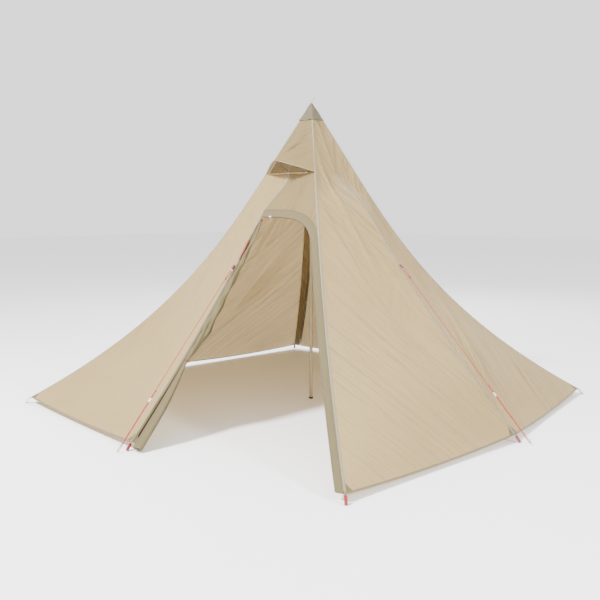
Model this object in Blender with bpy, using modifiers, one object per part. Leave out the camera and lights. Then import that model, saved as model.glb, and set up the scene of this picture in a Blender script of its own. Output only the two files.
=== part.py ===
"""Eight-panel single-pole tent with two doors, two vents, four guylines and a sectional pole.

Frame: metres, +Z up, origin on the ground under the pole, front ridge along -Y.
Ridges are numbered 0 to 7, counter-clockwise seen from above. Even ridges run down to the
middle of a side and carry a guyline, odd ridges run down to a corner. Panel n lies between
ridge n and ridge n + 1. Depth is 0 at the peak and 1 at the hem.
"""

import math

import bmesh
import bpy
from mathutils import Matrix, Vector

# Canopy
PEAK_HEIGHT = 2.0
HEM_HEIGHT = 0.04
CORNER_REACH = 1.90
SIDE_REACH = 1.51
CORNER_SAG = (0.28, 0.62)
SIDE_SAG = 0.24
SHEET = 0.002
SEAM_GAP = 0.003
HEM_CLEARANCE = 0.0016
HEM_DIP = HEM_HEIGHT - HEM_CLEARANCE
HEM_DIP_POWER = 12
PANEL_TOP = 0.04
VENT_DEPTH = 0.24
SIDE_BLEND = 0.125

# Doorways, each in the panel to the right of the front or back ridge
DOOR_COLUMNS = 28
ARCH_COLUMNS = 12
RIM_COLUMNS = 6
ARCH_BASE = 1.04
ARCH_RISE = 0.216
FLAP_WIDTH = 0.05
TRACK_INSET = 0.0045
TRACK_RADIUS = 0.002
LEAF_INSET = 0.009
TRACK_END = 0.985
FRONT_SLIDER_PART = 0.055
BACK_SLIDER_PART = 0.95

# Zip sliders and pulls; the front pull hangs to a height, proud of the ridge and beside it
SLIDER_SIZE = (0.016, 0.010, 0.004)
SLIDER_LIFT = 0.0062
SLIDER_REACH = 0.01
PULL_LIFT = 0.0058
PULL_STEPS = 16
PULL_RADIUS = 0.002
PULL_END = 1.0
PULL_PROUD = 0.006
PULL_ASIDE = 0.010
PULL_SETTLE = (4.0, 4.5)
TAB_SIZE = (0.034, 0.008, 0.002)
TAB_BEVEL = 0.0006
TAB_HINGE = 0.015
TAB_LIFT = 0.0060

# Vent hoods
HOOD_OUT = 0.147
HOOD_LIFT = 0.072
HOOD_FOLD = 0.8
HOOD_CURL = 1.2
VENT_GAP = 0.004
MESH_TOP = 0.065
MESH_SETBACK = 0.006
NET_EDGE = 0.06
NET_SHEET = 0.001
STAY_RADIUS = 0.003
STAY_FOOT_RISE = 0.009
STAY_FOOT_OUT = 0.008
STAY_HEAD_IN = 0.012
STAY_HEAD_DROP = 0.008

# Apex
CAP_HALF = (0.006, 0.080)
CAP_HEIGHTS = (1.998, 1.888)
CUP_RADIUS = 0.0155
CUP_WALL = 0.0022
CUP_HEIGHTS = (1.938, 1.972)

# Pole
POLE_SECTIONS = 4
POLE_RADIUS = 0.011
POLE_WALL = 0.0012
POLE_HEIGHTS = (0.012, 1.930)
POLE_PIVOT = 1.950
NECK_LENGTH = 0.06
NECK_TAPER = 0.004
FIT_GAP = 0.0003
SHOCK_RADIUS = 0.002
SPIGOT_LENGTH = 0.025
FOOT_RADII = (0.0125, 0.0145, 0.0135)
FOOT_CHAMFERS = (0.002, 0.003)
TIP_RADII = (0.006, 0.004)
TIP_HEIGHTS = (0.002, 0.003, 0.033, 0.0355, 0.036)

# Webbing loops: length, height of the fold, width of the webbing, thickness
STAKE_LOOP = (0.045, 0.011, 0.015, 0.0015)
ANCHOR_LOOP = (0.034, 0.009, 0.012, 0.0016)
HANG_LOOP = (0.040, 0.011, 0.008, 0.0015)
ARC_STEPS = 6
STAKE_LOOP_SLOPE = math.radians(53)
STAKE_LOOP_OUT = 0.003
STAKE_LOOP_RISE = 0.0024
HANG_LOOP_LEAN = math.radians(38)
HANG_LOOP_TURN = math.radians(41)
HANG_LOOP_RISE = 0.0065

# Guylines
ANCHOR_HEIGHT = 0.955
ANCHOR_STANDOFF = 0.011
STAKE_POINT = (1.600, 0.010)
CORD_RADIUS = 0.0015
RING_RADIUS = 0.0095
RING_WIRE = 0.0015
RING_INSET = 0.0065
STRAND_GAP = 0.003
TURN_RADIUS = 0.0065
TENSIONER_SIZE = (0.026, 0.015, 0.007)
TENSIONER_PLACE = 0.97
TENSIONER_BORE = 0.0021
TAIL_LENGTH = 0.045
TURN_STEPS = 8
LINE_STEPS = 6
TAIL_STEPS = 4
RING_SLACK = 0.0028
# Distance from the anchor and half the strands' distance, from the knot up to the ring
NECK_POINTS = ((0.104, 0.0022), (0.095, 0.0032), (0.080, 0.0052), (0.068, 0.0062))
KNOT_POINT = (0.112, 0.0, 0.0021)
BELOW_KNOT = ((0.120, -0.0008, -0.0012), (0.150, -0.0022, -0.0002))
LINE_START = 0.180
# Distance from the stake and half the strands' distance, down to the stake
EYE_POINTS = ((0.04, 0.0042), (0.02, 0.0060))
EYE_LENGTH = 0.06

# Gathered front door: height along the front ridge and half-thickness there
ROLL_PROFILE = (
    (1.195, 0.009), (1.15, 0.013), (1.05, 0.014), (0.90, 0.013), (0.75, 0.014), (0.60, 0.014),
    (0.50, 0.013), (0.44, 0.0115), (0.38, 0.015), (0.30, 0.022), (0.20, 0.027), (0.10, 0.030),
    (0.045, 0.031),
)
ROLL_SIDE_GAP = 0.020
ROLL_INBOARD = 0.4
TIE_HEIGHT = 0.44
TIE_RING = (0.0150, 0.0014)
TOGGLE_SIZE = (0.006, 0.006, 0.020)
TOGGLE_GAP = 0.0036

# Mesh columns across a piece and rows up it
PANEL_GRID = (6, 14)
DOORWAY_ROWS = 3
LEAF_GRID = (6, 16)
HOOD_GRID = (8, 10)
NET_GRID = (4, 4)
NORMAL_STEP = 0.002

SIDES = {0: "front", 2: "right", 4: "back", 6: "left"}
CORNERS = {1: "front_right", 3: "back_right", 5: "back_left", 7: "front_left"}
PANELS = {
    1: "right_front_panel", 2: "right_back_panel", 3: "back_right_panel",
    5: "left_back_panel", 6: "left_front_panel", 7: "front_left_panel",
}

FABRIC = (0.63, 0.55, 0.42, 1.0)
TRIM = (0.44, 0.40, 0.29, 1.0)
NET = (0.30, 0.25, 0.17, 1.0)
WEBBING = (0.60, 0.06, 0.04, 1.0)
CORD = (0.72, 0.20, 0.12, 1.0)
ZIPPER = (0.16, 0.14, 0.11, 1.0)
ALLOY = (0.60, 0.56, 0.48, 1.0)
STEEL = (0.45, 0.45, 0.45, 1.0)
PLASTIC = (0.35, 0.35, 0.34, 1.0)
PALE_PLASTIC = (0.70, 0.69, 0.65, 1.0)
RUBBER = (0.05, 0.05, 0.05, 1.0)


def clear_scene():
    """Remove every object of the open file."""
    for thing in list(bpy.data.objects):
        bpy.data.objects.remove(thing, do_unlink=True)


def new_collection(name):
    """Return a new collection linked to the scene."""
    group = bpy.data.collections.new(name)
    bpy.context.scene.collection.children.link(group)
    return group


def material(name, colour, roughness, metallic=0.0):
    """Return a Principled material."""
    finish = bpy.data.materials.new(name)
    finish.use_nodes = True
    shader = finish.node_tree.nodes["Principled BSDF"]
    shader.inputs["Base Color"].default_value = colour
    shader.inputs["Roughness"].default_value = roughness
    shader.inputs["Metallic"].default_value = metallic
    finish.diffuse_color = colour
    return finish


def keep(thing, colour, roughness=0.7, metallic=0.0):
    """Give an object its own material and move it into the tent's collection."""
    for group in list(thing.users_collection):
        group.objects.unlink(thing)
    TENT.objects.link(thing)
    thing.data.materials.clear()
    thing.data.materials.append(material(thing.name, colour, roughness, metallic))
    return thing


def object_from_bmesh(name, shape):
    """Turn a bmesh into an object."""
    mesh = bpy.data.meshes.new(name)
    shape.to_mesh(mesh)
    shape.free()
    thing = bpy.data.objects.new(name, mesh)
    TENT.objects.link(thing)
    return thing


def set_pivot(thing, pivot):
    """Move an object's origin to a point without moving its shape."""
    thing.data.transform(Matrix.Translation(-Vector(pivot)))
    thing.location = pivot


def mix(first, second, share):
    """Return the value a share of the way from first to second."""
    return first + (second - first) * share


def smooth(value):
    """Ease a value from 0 to 1."""
    value = max(0.0, min(1.0, value))
    return value * value * (3.0 - 2.0 * value)


def height(depth):
    """Return the height of the canopy at a depth."""
    return mix(PEAK_HEIGHT, HEM_HEIGHT, depth)


def depth_at(z):
    """Return the depth at a height."""
    return (PEAK_HEIGHT - z) / (PEAK_HEIGHT - HEM_HEIGHT)


def corner_reach(depth):
    """Return the radius of a corner ridge, which sags like a hanging chain."""
    sag = CORNER_SAG[0] + CORNER_SAG[1] * depth
    return CORNER_REACH * (depth - depth * (1.0 - depth) * sag)


def side_reach(depth):
    """Return the radius of a side ridge: flat between the corner ridges above the vent."""
    flat = corner_reach(depth) * math.cos(math.pi / 4)
    pulled = SIDE_REACH * (depth - SIDE_SAG * depth * (1.0 - depth))
    return mix(flat, pulled, smooth((depth - VENT_DEPTH) / SIDE_BLEND))


def bearing(ridge):
    """Return the angle of a ridge seen from above."""
    return math.radians(45.0 * ridge - 90.0)


def outward(ridge):
    """Return the level direction in which a ridge points."""
    return Vector((math.cos(bearing(ridge)), math.sin(bearing(ridge)), 0.0))


def sideways(ridge):
    """Return the level direction across a ridge, counter-clockwise."""
    return Vector((-math.sin(bearing(ridge)), math.cos(bearing(ridge)), 0.0))


def ridge_point(ridge, depth):
    """Return the point on a ridge at a depth."""
    reach = corner_reach(depth) if ridge % 2 else side_reach(depth)
    return outward(ridge) * reach + Vector((0.0, 0.0, height(depth)))


def panel_width(panel, depth):
    """Return the level width of a panel at a depth."""
    return (ridge_point(panel, depth) - ridge_point(panel + 1, depth)).length


def canopy_point(panel, depth, share):
    """Return a point on a panel; its hem dips to the ground between the corners."""
    gap = SEAM_GAP / panel_width(panel, depth)
    share = max(gap, min(1.0 - gap, share))
    point = mix(ridge_point(panel, depth), ridge_point(panel + 1, depth), share)
    point.z -= HEM_DIP * 4.0 * share * (1.0 - share) * depth ** HEM_DIP_POWER
    return point


def canopy_normal(panel, depth, share):
    """Return the outward normal of a panel."""
    step = NORMAL_STEP
    along = canopy_point(panel, depth - step, share) - canopy_point(panel, depth + step, share)
    across = ridge_point(panel + 1, depth) - ridge_point(panel, depth)
    return across.cross(along).normalized()


def sheet(name, columns, rows, place, colour, thickness=SHEET):
    """Make a thin shell from a grid whose points are placed by place(across, up)."""
    shape = bmesh.new()
    bmesh.ops.create_grid(shape, x_segments=columns, y_segments=rows, size=0.5)
    for vertex in shape.verts:
        vertex.co = place(vertex.co.x + 0.5, vertex.co.y + 0.5)
    thing = object_from_bmesh(name, shape)
    shell = thing.modifiers.new("fabric", "SOLIDIFY")
    shell.thickness = thickness
    shell.offset = -1.0
    return keep(thing, colour, roughness=0.85)


def tube(name, points, radius, colour, profile=None, roughness=0.7):
    """Make a round bar through points, with an own radius at each point where profile is set."""
    curve = bpy.data.curves.new(name, "CURVE")
    curve.dimensions = "3D"
    curve.bevel_depth = radius
    curve.bevel_resolution = 2
    curve.use_fill_caps = True
    line = curve.splines.new("POLY")
    line.points.add(len(points) - 1)
    for number, point in enumerate(points):
        line.points[number].co = (*point, 1.0)
        line.points[number].radius = profile[number] / radius if profile else 1.0
    thing = bpy.data.objects.new(name, curve)
    TENT.objects.link(thing)
    return keep(thing, colour, roughness)


def turned(name, profile, colour, closed=False, steps=20, roughness=0.4, metallic=0.0):
    """Turn a profile of radius and height round Z; it runs down the outer side."""
    mesh = bpy.data.meshes.new(name)
    points = [(radius, 0.0, z) for radius, z in profile]
    edges = [(number, number + 1) for number in range(len(points) - 1)]
    if closed:
        edges.append((len(points) - 1, 0))
    mesh.from_pydata(points, edges, [])
    thing = bpy.data.objects.new(name, mesh)
    TENT.objects.link(thing)
    screw = thing.modifiers.new("turn", "SCREW")
    screw.steps = steps
    screw.render_steps = steps
    screw.use_merge_vertices = True
    screw.merge_threshold = 0.00001
    screw.use_smooth_shade = True
    return keep(thing, colour, roughness, metallic)


def webbing_loop(name, size, colour):
    """Make a flat loop of folded webbing lying along +X from its origin, its width along Y."""
    length, fold, width, thick = size
    curve = bpy.data.curves.new(name, "CURVE")
    curve.dimensions = "2D"
    curve.fill_mode = "BOTH"
    curve.extrude = width / 2
    for inset in (0.0, thick):
        corner = fold / 2 - inset
        line = curve.splines.new("POLY")
        outline = []
        for centre, start in ((length - fold / 2, -90.0), (fold / 2, 90.0)):
            for step in range(ARC_STEPS + 1):
                angle = math.radians(start + 180.0 * step / ARC_STEPS)
                outline.append((centre + corner * math.cos(angle), corner * math.sin(angle)))
        line.points.add(len(outline) - 1)
        for number, (x, y) in enumerate(outline):
            line.points[number].co = (x, y, 0.0, 1.0)
        line.use_cyclic_u = True
    thing = bpy.data.objects.new(name, curve)
    TENT.objects.link(thing)
    return keep(thing, colour, roughness=0.9)


def axes_matrix(x_axis, z_axis, place):
    """Return the matrix of a frame with the given X axis, nearest Z axis and place."""
    x_axis = Vector(x_axis).normalized()
    y_axis = Vector(z_axis).cross(x_axis).normalized()
    z_axis = x_axis.cross(y_axis)
    turn = Matrix((x_axis, y_axis, z_axis)).transposed().to_4x4()
    return Matrix.Translation(place) @ turn


def rounded_block(name, size, colour, bevel=0.001, roughness=0.5):
    """Make a block centred on its origin with rounded edges."""
    shape = bmesh.new()
    bmesh.ops.create_cube(shape, size=1.0, matrix=Matrix.Diagonal((*size, 1.0)))
    thing = object_from_bmesh(name, shape)
    edge = thing.modifiers.new("edges", "BEVEL")
    edge.width = bevel
    edge.segments = 2
    return keep(thing, colour, roughness)


def opening_edge(part, inset):
    """Return depth and share on a doorway's edge: its arch, then straight down to the hem.

    The arch is a quarter of a squarish oval that starts on the ridge; the inset moves the line
    into the opening.
    """
    bend = ARCH_COLUMNS / DOOR_COLUMNS
    if part < bend:
        angle = math.pi / 2 * part / bend
        swell = (math.sin(angle) ** 4 + math.cos(angle) ** 4) ** 0.25
        across = math.sin(angle) / swell
        z = ARCH_BASE + (ARCH_RISE - inset) * math.cos(angle) / swell
    else:
        across = 1.0
        z = mix(ARCH_BASE, HEM_HEIGHT, (part - bend) / (1.0 - bend))
    depth = depth_at(z)
    width = panel_width(0, depth)
    return depth, across * (width - FLAP_WIDTH - inset) / width


def opening_share(z, inset):
    """Return the share of the panel that the opening takes at a height."""
    rise = max(0.0, (z - ARCH_BASE) / (ARCH_RISE - inset))
    across = max(0.0, 1.0 - rise ** 4) ** 0.25
    width = panel_width(0, depth_at(z))
    return across * (width - FLAP_WIDTH - inset) / width


def make_panels():
    """Make the six whole panels; the two beside the doorways start at the vent."""
    for panel, name in PANELS.items():
        top = VENT_DEPTH if panel in (3, 7) else PANEL_TOP

        def place(across, up, panel=panel, top=top):
            return canopy_point(panel, mix(1.0, top, up), across)

        sheet(name, *PANEL_GRID, place, FABRIC)


def make_doorway(panel, side):
    """Make a doorway panel: the cloth over the arch and the flap down its corner ridge."""
    def place(across, up):
        inner = opening_edge(across, 0.0)
        corner = RIM_COLUMNS / DOOR_COLUMNS
        if across < corner:
            outer = (VENT_DEPTH, across / corner)
        else:
            outer = (mix(VENT_DEPTH, 1.0, (across - corner) / (1.0 - corner)), 1.0)
        depth = mix(inner[0], outer[0], up)
        return canopy_point(panel, depth, mix(inner[1], outer[1], up))

    sheet(side + "_doorway_panel", DOOR_COLUMNS, DOORWAY_ROWS, place, FABRIC)


def make_zip_track(panel, side):
    """Make the zip's teeth along the edge of a doorway."""
    points = []
    for step in range(1, DOOR_COLUMNS + 1):
        depth, share = opening_edge(TRACK_END * step / DOOR_COLUMNS, TRACK_INSET)
        middle = canopy_point(panel, depth, share)
        points.append(middle - canopy_normal(panel, depth, share) * SHEET / 2)
    tube(side + "_zip_track", points, TRACK_RADIUS, ZIPPER)


def make_back_door():
    """Make the closed back door; it is sewn to the back ridge and swings about its chord."""
    top = ARCH_BASE + ARCH_RISE - LEAF_INSET - SHEET

    def place(across, up):
        z = mix(HEM_HEIGHT, top, up)
        return canopy_point(4, depth_at(z), across * opening_share(z, LEAF_INSET))

    leaf = sheet("back_door", *LEAF_GRID, place, FABRIC)
    set_pivot(leaf, ridge_point(4, depth_at(ARCH_BASE + ARCH_RISE)))


def make_front_door():
    """Make the front door gathered into a bundle beside the front ridge, and its tie."""
    points = []
    for z, radius in ROLL_PROFILE:
        depth = depth_at(z)
        point = ridge_point(0, depth) + sideways(0) * (radius + ROLL_SIDE_GAP)
        points.append(point - outward(0) * radius * ROLL_INBOARD)
    pivot = ridge_point(0, depth_at(ARCH_BASE + ARCH_RISE))
    radii = [radius for _, radius in ROLL_PROFILE]
    roll = tube("front_door_roll", [point - pivot for point in points], radii[0], FABRIC,
                profile=radii)
    roll.location = pivot
    knot = [z for z, _ in ROLL_PROFILE].index(TIE_HEIGHT)
    along = (points[knot - 1] - points[knot + 1]).normalized()
    bpy.ops.mesh.primitive_torus_add(major_segments=24, minor_segments=8,
                                     major_radius=TIE_RING[0], minor_radius=TIE_RING[1])
    band = bpy.context.object
    band.name = "door_tie"
    band.matrix_world = axes_matrix(sideways(0), along, points[knot])
    keep(band, WEBBING)
    toggle = rounded_block("door_toggle", TOGGLE_SIZE, WEBBING)
    offset = sideways(0) * (sum(TIE_RING) + TOGGLE_GAP)
    toggle.matrix_world = axes_matrix(sideways(0), along, points[knot] + offset)


def make_slider(panel, side, part, face):
    """Make a zip's slider on the outer (1) or inner (-1) face, and return its matrix."""
    depth, share = opening_edge(part, TRACK_INSET)
    before = canopy_point(panel, *opening_edge(part - SLIDER_REACH, TRACK_INSET))
    after = canopy_point(panel, *opening_edge(part + SLIDER_REACH, TRACK_INSET))
    normal = canopy_normal(panel, depth, share) * face
    lift = SLIDER_LIFT if face > 0 else SLIDER_LIFT + SHEET / 2
    place = canopy_point(panel, depth, share) + normal * lift
    slider = rounded_block(side + "_zip_slider", SLIDER_SIZE, PALE_PLASTIC)
    slider.matrix_world = axes_matrix(after - before, normal, place)
    return slider.matrix_world.copy()


def make_zip_pulls(front_slider, back_slider):
    """Make the long webbing pull of the front zip and the short tab of the back zip."""
    start = front_slider @ Vector((0.0, 0.0, PULL_LIFT))
    hang = start - ridge_point(0, depth_at(start.z))
    points = []
    for step in range(PULL_STEPS + 1):
        share = step / PULL_STEPS
        z = mix(start.z, PULL_END, share)
        out = mix(hang.dot(outward(0)), PULL_PROUD, smooth(share * PULL_SETTLE[0]))
        aside = mix(hang.dot(sideways(0)), PULL_ASIDE, smooth(share * PULL_SETTLE[1]))
        points.append(ridge_point(0, depth_at(z)) + outward(0) * out + sideways(0) * aside)
    pull = tube("front_zip_pull", [point - points[0] for point in points], PULL_RADIUS, WEBBING)
    pull.location = points[0]
    tab = rounded_block("back_zip_pull", TAB_SIZE, PALE_PLASTIC, bevel=TAB_BEVEL)
    set_pivot(tab, (-TAB_HINGE, 0.0, 0.0))
    inward = back_slider.to_3x3() @ Vector((0.0, 0.0, 1.0))
    hinge = back_slider @ Vector((0.0, 0.0, TAB_LIFT))
    tab.matrix_world = axes_matrix((0.0, 0.0, -1.0), inward, hinge)


def make_hood(ridge, side):
    """Make a vent hood between two corner ridges, its net and its stay."""
    def face(depth, across):
        left = ridge_point(ridge - 1, depth)
        right = ridge_point(ridge + 1, depth)
        gap = SEAM_GAP / (right - left).length
        return mix(left, right, mix(gap, 1.0 - gap, across))

    def hood_place(across, up):
        gable = 1.0 - abs(2.0 * across - 1.0)
        flare = max(0.0, 1.0 - up / HOOD_FOLD)
        point = face(mix(VENT_DEPTH - VENT_GAP, PANEL_TOP, up), across)
        point += outward(ridge) * HOOD_OUT * gable * flare ** HOOD_CURL
        point.z += HOOD_LIFT * gable * flare
        return point

    def net_place(across, up):
        depth = mix(VENT_DEPTH - VENT_GAP, MESH_TOP, up)
        return face(depth, mix(NET_EDGE, 1.0 - NET_EDGE, across)) - outward(ridge) * MESH_SETBACK

    sheet(side + "_hood", *HOOD_GRID, hood_place, FABRIC)
    sheet(side + "_vent_net", *NET_GRID, net_place, NET, thickness=NET_SHEET)
    head = hood_place(0.5, 0.0) - outward(ridge) * STAY_HEAD_IN
    head.z -= STAY_HEAD_DROP
    foot = ridge_point(ridge, VENT_DEPTH) + outward(ridge) * STAY_FOOT_OUT
    foot.z += STAY_FOOT_RISE
    stay = tube(side + "_hood_stay", [Vector(), foot - head], STAY_RADIUS, PLASTIC)
    stay.location = head


def make_apex():
    """Make the apex cap, the cup that takes the pole's tip, and the hang loop."""
    shape = bmesh.new()
    top, bottom = CAP_HEIGHTS
    bmesh.ops.create_cone(shape, cap_ends=False, segments=4, radius1=CAP_HALF[1],
                          radius2=CAP_HALF[0], depth=top - bottom,
                          matrix=Matrix.Translation((0.0, 0.0, (top + bottom) / 2)))
    bmesh.ops.rotate(shape, verts=shape.verts, matrix=Matrix.Rotation(cap_turn(shape), 3, "Z"))
    cap = object_from_bmesh("apex_cap", shape)
    shell = cap.modifiers.new("fabric", "SOLIDIFY")
    shell.thickness = SHEET
    shell.offset = 1.0
    keep(cap, TRIM, roughness=0.85)
    low, high = CUP_HEIGHTS
    inner = CUP_RADIUS - CUP_WALL
    roof = high - CUP_WALL
    cup = [(0.0, high), (CUP_RADIUS, high), (CUP_RADIUS, low), (inner, low), (inner, roof),
           (0.0, roof)]
    turned("pole_cup", cup, TRIM, roughness=0.8)
    loop = webbing_loop("hang_loop", HANG_LOOP, PALE_PLASTIC)
    lean = Vector((math.cos(HANG_LOOP_TURN), math.sin(HANG_LOOP_TURN), 0.0))
    along = lean * math.sin(HANG_LOOP_LEAN) + Vector((0.0, 0.0, math.cos(HANG_LOOP_LEAN)))
    loop.matrix_world = axes_matrix(along, lean.cross(Vector((0.0, 0.0, 1.0))),
                                    (0.0, 0.0, top + HANG_LOOP_RISE))


def cap_turn(shape):
    """Return the angle that brings the first corner of a four-sided cone onto ridge 1."""
    shape.verts.ensure_lookup_table()
    first = shape.verts[0].co
    return bearing(1) - math.atan2(first.y, first.x)


def make_pole():
    """Make the pole's sections, whose necks plug into each other, its ends and shock cord."""
    pivot = bpy.data.objects.new("pole_pivot", None)
    pivot.location = (0.0, 0.0, POLE_PIVOT)
    TENT.objects.link(pivot)
    low, high = (z - POLE_PIVOT for z in POLE_HEIGHTS)
    length = (high - low) / POLE_SECTIONS
    bore = POLE_RADIUS - POLE_WALL
    core = bore - FIT_GAP
    pieces = []
    hole = core - POLE_WALL
    for number in range(POLE_SECTIONS):
        bottom = low + number * length + FIT_GAP / 2
        top = bottom + length - FIT_GAP
        profile = [(POLE_RADIUS, top), (POLE_RADIUS, bottom), (bore, bottom)]
        if number < POLE_SECTIONS - 1:
            neck = top + NECK_LENGTH
            profile += [(bore, top - NECK_TAPER), (hole, top), (hole, neck), (core, neck),
                        (core, top)]
        else:
            profile.append((bore, top))
        pieces.append(turned(f"pole_section_{number + 1}", profile, ALLOY, closed=True,
                             roughness=0.35, metallic=1.0))
    ground = low - POLE_HEIGHTS[0]
    pad, widest, collar = FOOT_RADII
    edge, slope = FOOT_CHAMFERS
    foot = [(0.0, low + SPIGOT_LENGTH), (core, low + SPIGOT_LENGTH), (core, low), (collar, low),
            (widest, low - slope), (widest, ground + edge), (pad, ground), (0.0, ground)]
    pieces.append(turned("pole_foot", foot, RUBBER, roughness=0.8))
    rim, root, shoulder, crown, point = (high + rise for rise in TIP_HEIGHTS)
    shaft, end = TIP_RADII
    tip = [(0.0, point), (end, crown), (shaft, shoulder), (shaft, root), (POLE_RADIUS, rim),
           (POLE_RADIUS, high), (core, high), (core, high - SPIGOT_LENGTH),
           (0.0, high - SPIGOT_LENGTH)]
    pieces.append(turned("pole_tip", tip, RUBBER, roughness=0.6))
    ends = (low + SPIGOT_LENGTH + FIT_GAP, high - SPIGOT_LENGTH - FIT_GAP)
    pieces.append(tube("shock_cord", [Vector((0.0, 0.0, z)) for z in ends], SHOCK_RADIUS, RUBBER))
    for piece in pieces:
        piece.parent = pivot


def make_stake_loops():
    """Make the webbing loops that are pegged down at the foot of every ridge."""
    for ridge, side in {**SIDES, **CORNERS}.items():
        loop = webbing_loop("stake_loop_" + side, STAKE_LOOP, WEBBING)
        along = outward(ridge) * math.cos(STAKE_LOOP_SLOPE)
        along.z = -math.sin(STAKE_LOOP_SLOPE)
        foot = ridge_point(ridge, 1.0) + outward(ridge) * STAKE_LOOP_OUT
        foot.z = STAKE_LOOP[0] * math.sin(STAKE_LOOP_SLOPE) + STAKE_LOOP_RISE
        loop.matrix_world = axes_matrix(along, sideways(ridge), foot)


def guy_frame(ridge):
    """Return the matrix of a guyline: X down the line, Y across it, Z away from the tent."""
    anchor = ridge_point(ridge, depth_at(ANCHOR_HEIGHT))
    stake = outward(ridge) * STAKE_POINT[0] + Vector((0.0, 0.0, STAKE_POINT[1]))
    lift = outward(ridge) * (anchor.z - stake.z) + Vector((0.0, 0.0, STAKE_POINT[0]))
    start = anchor + lift.normalized() * ANCHOR_STANDOFF
    along = stake - start
    return axes_matrix(along, lift, start), along.length


def half_turn(centre, start):
    """Return points of a half circle about a centre, as distance along and sideways."""
    angles = [start + math.pi * step / TURN_STEPS for step in range(TURN_STEPS + 1)]
    return [(centre + TURN_RADIUS * math.cos(angle), TURN_RADIUS * math.sin(angle))
            for angle in angles]


def guy_route(length):
    """Return a guyline's points: a loop through the ring, the line, a loop at the stake, a tail."""
    top_turn = ANCHOR_LOOP[0] - RING_INSET + 2 * RING_RADIUS + RING_SLACK
    route = [KNOT_POINT, *((x, 0.0, z) for x, z in NECK_POINTS)]
    route += [(x, 0.0, z) for x, z in half_turn(top_turn, math.pi / 2)]
    route += [(x, 0.0, -z) for x, z in reversed(NECK_POINTS)]
    route += [*BELOW_KNOT, (LINE_START, -STRAND_GAP, 0.0)]
    line_end = length - EYE_LENGTH
    for step in range(1, LINE_STEPS + 1):
        route.append((mix(LINE_START, line_end, step / LINE_STEPS), -STRAND_GAP, 0.0))
    route += [(length - x, -y, 0.0) for x, y in EYE_POINTS]
    route += [(x, y, 0.0) for x, y in half_turn(length - TURN_RADIUS, -math.pi / 2)]
    route += [(length - x, y, 0.0) for x, y in reversed(EYE_POINTS)]
    route.append((line_end, STRAND_GAP, 0.0))
    tail_end = TENSIONER_PLACE - TENSIONER_SIZE[0] / 2 - TAIL_LENGTH
    for step in range(1, TAIL_STEPS + 1):
        route.append((mix(line_end, tail_end, step / TAIL_STEPS), STRAND_GAP, 0.0))
    return [Vector(point) for point in route]


def make_guyline(ridge, side):
    """Make one guyline: its anchor loop, ring, cord and tensioner."""
    frame, length = guy_frame(ridge)
    anchor = webbing_loop("guy_anchor_" + side, ANCHOR_LOOP, WEBBING)
    anchor.matrix_world = frame @ Matrix.Rotation(math.radians(90), 4, "X")
    ring_place = ANCHOR_LOOP[0] - RING_INSET + RING_RADIUS
    bpy.ops.mesh.primitive_torus_add(major_segments=20, minor_segments=8,
                                     major_radius=RING_RADIUS, minor_radius=RING_WIRE)
    ring = bpy.context.object
    ring.name = "guy_ring_" + side
    ring.matrix_world = frame @ Matrix.Translation((ring_place, 0.0, 0.0))
    keep(ring, STEEL, roughness=0.4, metallic=1.0)
    route = guy_route(length)
    cord = tube("guyline_" + side, [point - route[0] for point in route], CORD_RADIUS, CORD)
    cord.matrix_world = frame @ Matrix.Translation(route[0])
    block = rounded_block("tensioner_" + side, TENSIONER_SIZE, PALE_PLASTIC)
    place = frame @ Matrix.Translation((TENSIONER_PLACE, 0.0, 0.0))
    block.matrix_world = place
    for offset in (-STRAND_GAP, STRAND_GAP):
        bpy.ops.mesh.primitive_cylinder_add(vertices=12, radius=TENSIONER_BORE,
                                            depth=2 * TENSIONER_SIZE[0])
        cutter = bpy.context.object
        cutter.name = f"bore_{side}_{'return' if offset > 0 else 'main'}"
        turn = Matrix.Rotation(math.radians(90), 4, "Y")
        cutter.matrix_world = place @ Matrix.Translation((0.0, offset, 0.0)) @ turn
        cutter.hide_render = True
        cutter.display_type = "WIRE"
        for group in list(cutter.users_collection):
            group.objects.unlink(cutter)
        CUTTERS.objects.link(cutter)
        cut = block.modifiers.new("bore", "BOOLEAN")
        cut.object = cutter
        cut.operation = "DIFFERENCE"


clear_scene()
TENT = new_collection("tent")
CUTTERS = new_collection("cutters")
make_panels()
for door_panel, door_side in ((0, "front"), (4, "back")):
    make_doorway(door_panel, door_side)
    make_zip_track(door_panel, door_side)
    make_hood(door_panel, door_side)
make_back_door()
make_front_door()
FRONT_SLIDER = make_slider(0, "front", FRONT_SLIDER_PART, 1)
BACK_SLIDER = make_slider(4, "back", BACK_SLIDER_PART, -1)
make_zip_pulls(FRONT_SLIDER, BACK_SLIDER)
make_apex()
make_pole()
make_stake_loops()
for guy_ridge, guy_side in SIDES.items():
    make_guyline(guy_ridge, guy_side)
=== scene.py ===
"""Looks of an eight-panel single-pole tent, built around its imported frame.

Frame: metres, +Z up, origin on the ground under the pole, front ridge along -Y. Ridges are
numbered 0 to 7, counter-clockwise seen from above: even ones run down to the middle of a side,
odd ones to a corner. Panel n lies between ridge n and ridge n + 1. Depth is 0 at the peak and 1
at the hem, and share is the part of the way across a panel from its first ridge.
"""

from __future__ import annotations

import logging
import math
from dataclasses import dataclass, field, replace
from enum import Enum
from typing import Optional, Sequence, Union

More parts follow.
